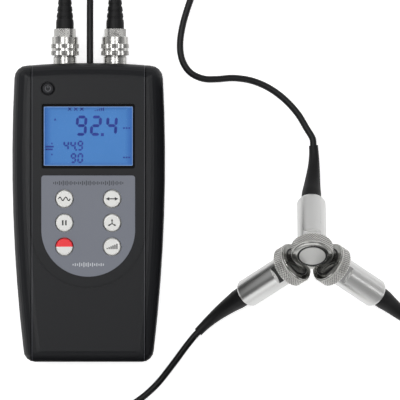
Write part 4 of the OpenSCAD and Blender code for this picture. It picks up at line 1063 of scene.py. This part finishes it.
# %% Finish the CAD nodes
finishes = [
    (front_abs, "front_shell"), (housing_abs, "rear_shell battery_door power_key"),
    (polycarbonate, "lcd_window"), (display_blue, "lcd_glass"), (diffuser, "lcd_backlight"),
    (label_film, "face_label"), (silicone, "key_mat"), (solder_mask, "main_board"),
    (chip_resin, "board_parts"), (cell_sleeve, "battery_cells"), (ptfe, "socket_insulators"),
    (nickel, "socket_left socket_right socket_nuts plug_nut_left plug_nut_right plug_body_left"),
    (nickel, "plug_body_right"), (boot_rubber, "lead_grommet"), (black_screw, "case_screws"),
    (white_abs, "key_1 key_2 key_3 key_4 key_6"), (red_white_abs, "key_5"), (gold_plate, "plug_pins"),
    (spring_steel, "battery_contacts board_screws base_studs seismic_masses"), (nylon, "lead_ties"),
    (black_resin, "seal_rings"), (magnet_alloy, "magnet_discs"), (ceramic, "piezo_rings"),
    (pole_steel, "top_pole"), (lapped_shaded_steel, "left_pole right_pole")]
finishes += [(case_steel[side], f"{side}_case") for side in sensors]
finished = [(node, material) for material, nodes in finishes for node in nodes.split()]
for node, material in finished:
    for place in frame["nodes"][node].material_slots:
        place.material = material
print("Finished nodes", len(finished))

# %% [markdown]
# The table is a pale, plain floor. To the camera it also glows a little, which lifts it to white while it
# keeps the object's soft shadow, and in metal and through glass it glows less, so that the steel keeps its
# tone.

# %% Floor
FLOOR_SIZE = 6.0
FLOOR_DROP = 0.05 * MM
FLOOR_GLOW = 0.72
FLOOR_GLOW_MIRRORED = 0.48


def pale_floor():
    """A matt floor that shows as nearly white."""
    material, tree, shader = new_material("pale_floor")
    shader.inputs["Base Color"].default_value = linear("#e8e8e8")
    shader.inputs["Roughness"].default_value = 0.9
    rays = add(tree, "ShaderNodeLightPath").outputs
    seen = maths(tree, "MAXIMUM", rays["Is Camera Ray"], rays["Is Transmission Ray"])
    mirrored = maths(tree, "MULTIPLY", rays["Is Glossy Ray"], FLOOR_GLOW_MIRRORED)
    glow = maths(tree, "ADD", maths(tree, "MULTIPLY", seen, FLOOR_GLOW), mirrored)
    shader.inputs["Emission Color"].default_value = grey(1)
    tree.links.new(glow, shader.inputs["Emission Strength"])
    return material


def sheet(name, width, length, place, material):
    """A flat rectangle in its place."""
    bm = rectangle(width, length)
    bmesh.ops.transform(bm, matrix=place, verts=bm.verts)
    mesh = bpy.data.meshes.new(name)
    bm.to_mesh(mesh)
    bm.free()
    mesh.materials.append(material)
    return new_object(name, mesh)


floor = sheet("floor", FLOOR_SIZE, FLOOR_SIZE, Matrix.Translation((0, 0, -FLOOR_DROP)), pale_floor())
print("Floor ready")

# %% [markdown]
# A soft studio: a large softbox high on the left puts the broad sheen on the housing's left shoulder, and
# a weaker one stands on the right. Two small strips overhead add narrow highlights, and a front softbox
# and a side strip light the sensors. A grey world fills the shadows. It is brightest near the horizon,
# like the walls of a pale room under a darker ceiling, which gives the steel its tone.


# %% Lights
def softbox(name, place, target, size, power):
    """A rectangular area light that looks at a target."""
    data = bpy.data.lights.new(name, "AREA")
    data.shape = "RECTANGLE"
    data.size, data.size_y = size
    data.energy = power
    lamp = new_object(name, data)
    lamp.location = place
    lamp.rotation_euler = (Vector(target) - Vector(place)).to_track_quat("-Z", "Y").to_euler()
    lamp.visible_camera = False


softbox("left_softbox", (-0.44, 0.34, 1.05), (0, 0, 0), (0.45, 1.0), 4.6)
softbox("right_softbox", (0.42, 0.36, 1.1), (0.05, 0, 0), (0.35, 1.0), 2.6)
softbox("left_strip", (-0.36, -0.02, 1.0), (0, 0, 0), (0.1, 0.22), 1.0)
softbox("right_strip", (0.36, -0.02, 1.0), (0, 0, 0), (0.1, 0.22), 0.7)
softbox("front_softbox", (-0.12, -0.75, 0.36), (0.09, -0.03, 0.02), (0.8, 0.4), 1.1)
softbox("side_strip", (1.1, -0.28, 0.3), (0.13, -0.03, 0.02), (0.06, 0.5), 0.4)

SKY = ((0, 0.5), (0.35, 0.45), (0.6, 0.2), (1, 0.12))
world = bpy.data.worlds.new("studio")
world.use_nodes = True
sky = world.node_tree
ways = add(sky, "ShaderNodeTexCoord")
height = add(sky, "ShaderNodeSeparateXYZ", {"Vector": ways.outputs["Generated"]})
shade = ramp(sky, height.outputs["Z"], [(share, grey(level)) for share, level in SKY])
sky.links.new(shade, sky.nodes["Background"].inputs["Color"])
bpy.context.scene.world = world
bpy.context.scene.view_settings.view_transform = "Standard"
print("Lights ready")

# %% [markdown]
# Polished metal shows its surroundings, so the studio has cards that only reflections see: a black one
# over the meter, which draws the dark line along the plugs' nuts, a black one in front of the sensors,
# which darkens the right of their polished faces, a pale one beyond the socket end, which brightens the
# top sensor, a dim one at the near left corner, which draws a dark band along the left sensor and darkens
# its wrench flat, and black ones along the meter's right side and near end, which darken its edges. The
# last two are clear from behind, so the sensors don't see them.


# %% Cards
def card(name, place, target, size, level, one_sided=False):
    """A flat card facing a target, seen only in reflections, if wanted only from its front."""
    material, tree, shader = new_material(f"{name}_paper")
    shader.inputs["Base Color"].default_value = grey(0)
    shader.inputs["Specular IOR Level"].default_value = 0.0
    shader.inputs["Emission Color"].default_value = grey(level)
    shader.inputs["Emission Strength"].default_value = 1.0
    if one_sided:
        back = add(tree, "ShaderNodeNewGeometry").outputs["Backfacing"]
        tree.links.new(maths(tree, "SUBTRACT", 1.0, back), shader.inputs["Alpha"])
    made = sheet(name, *size, laid_on(Vector(place), Vector(target) - Vector(place)), material)
    for rays in ("camera", "diffuse", "shadow", "transmission"):
        setattr(made, f"visible_{rays}", False)


card("black_top_card", (0, 0.05, 0.9), (0, 0.05, 0), (0.2, 0.5), 0.01)
card("black_front_card", (0.128, -0.13, 0.02), (0.128, 0, 0.02), (0.024, 0.05), 0.01)
card("black_side_card", (0.055, -0.02, 0.024), (0, -0.02, 0.024), (0.18, 0.048), 0.005, one_sided=True)
card("black_end_card", (0, -0.092, 0.022), (0, 0, 0.022), (0.09, 0.044), 0.005, one_sided=True)
card("dim_corner_card", (-0.262, -0.303, 0.25), (0.097, -0.033, 0.031), (0.24, 0.22), 0.05)
card("pale_far_card", (0.1, 0.7, 0.15), (0.1, 0, 0.1), (1.2, 0.3), 0.8)
print("Cards ready")
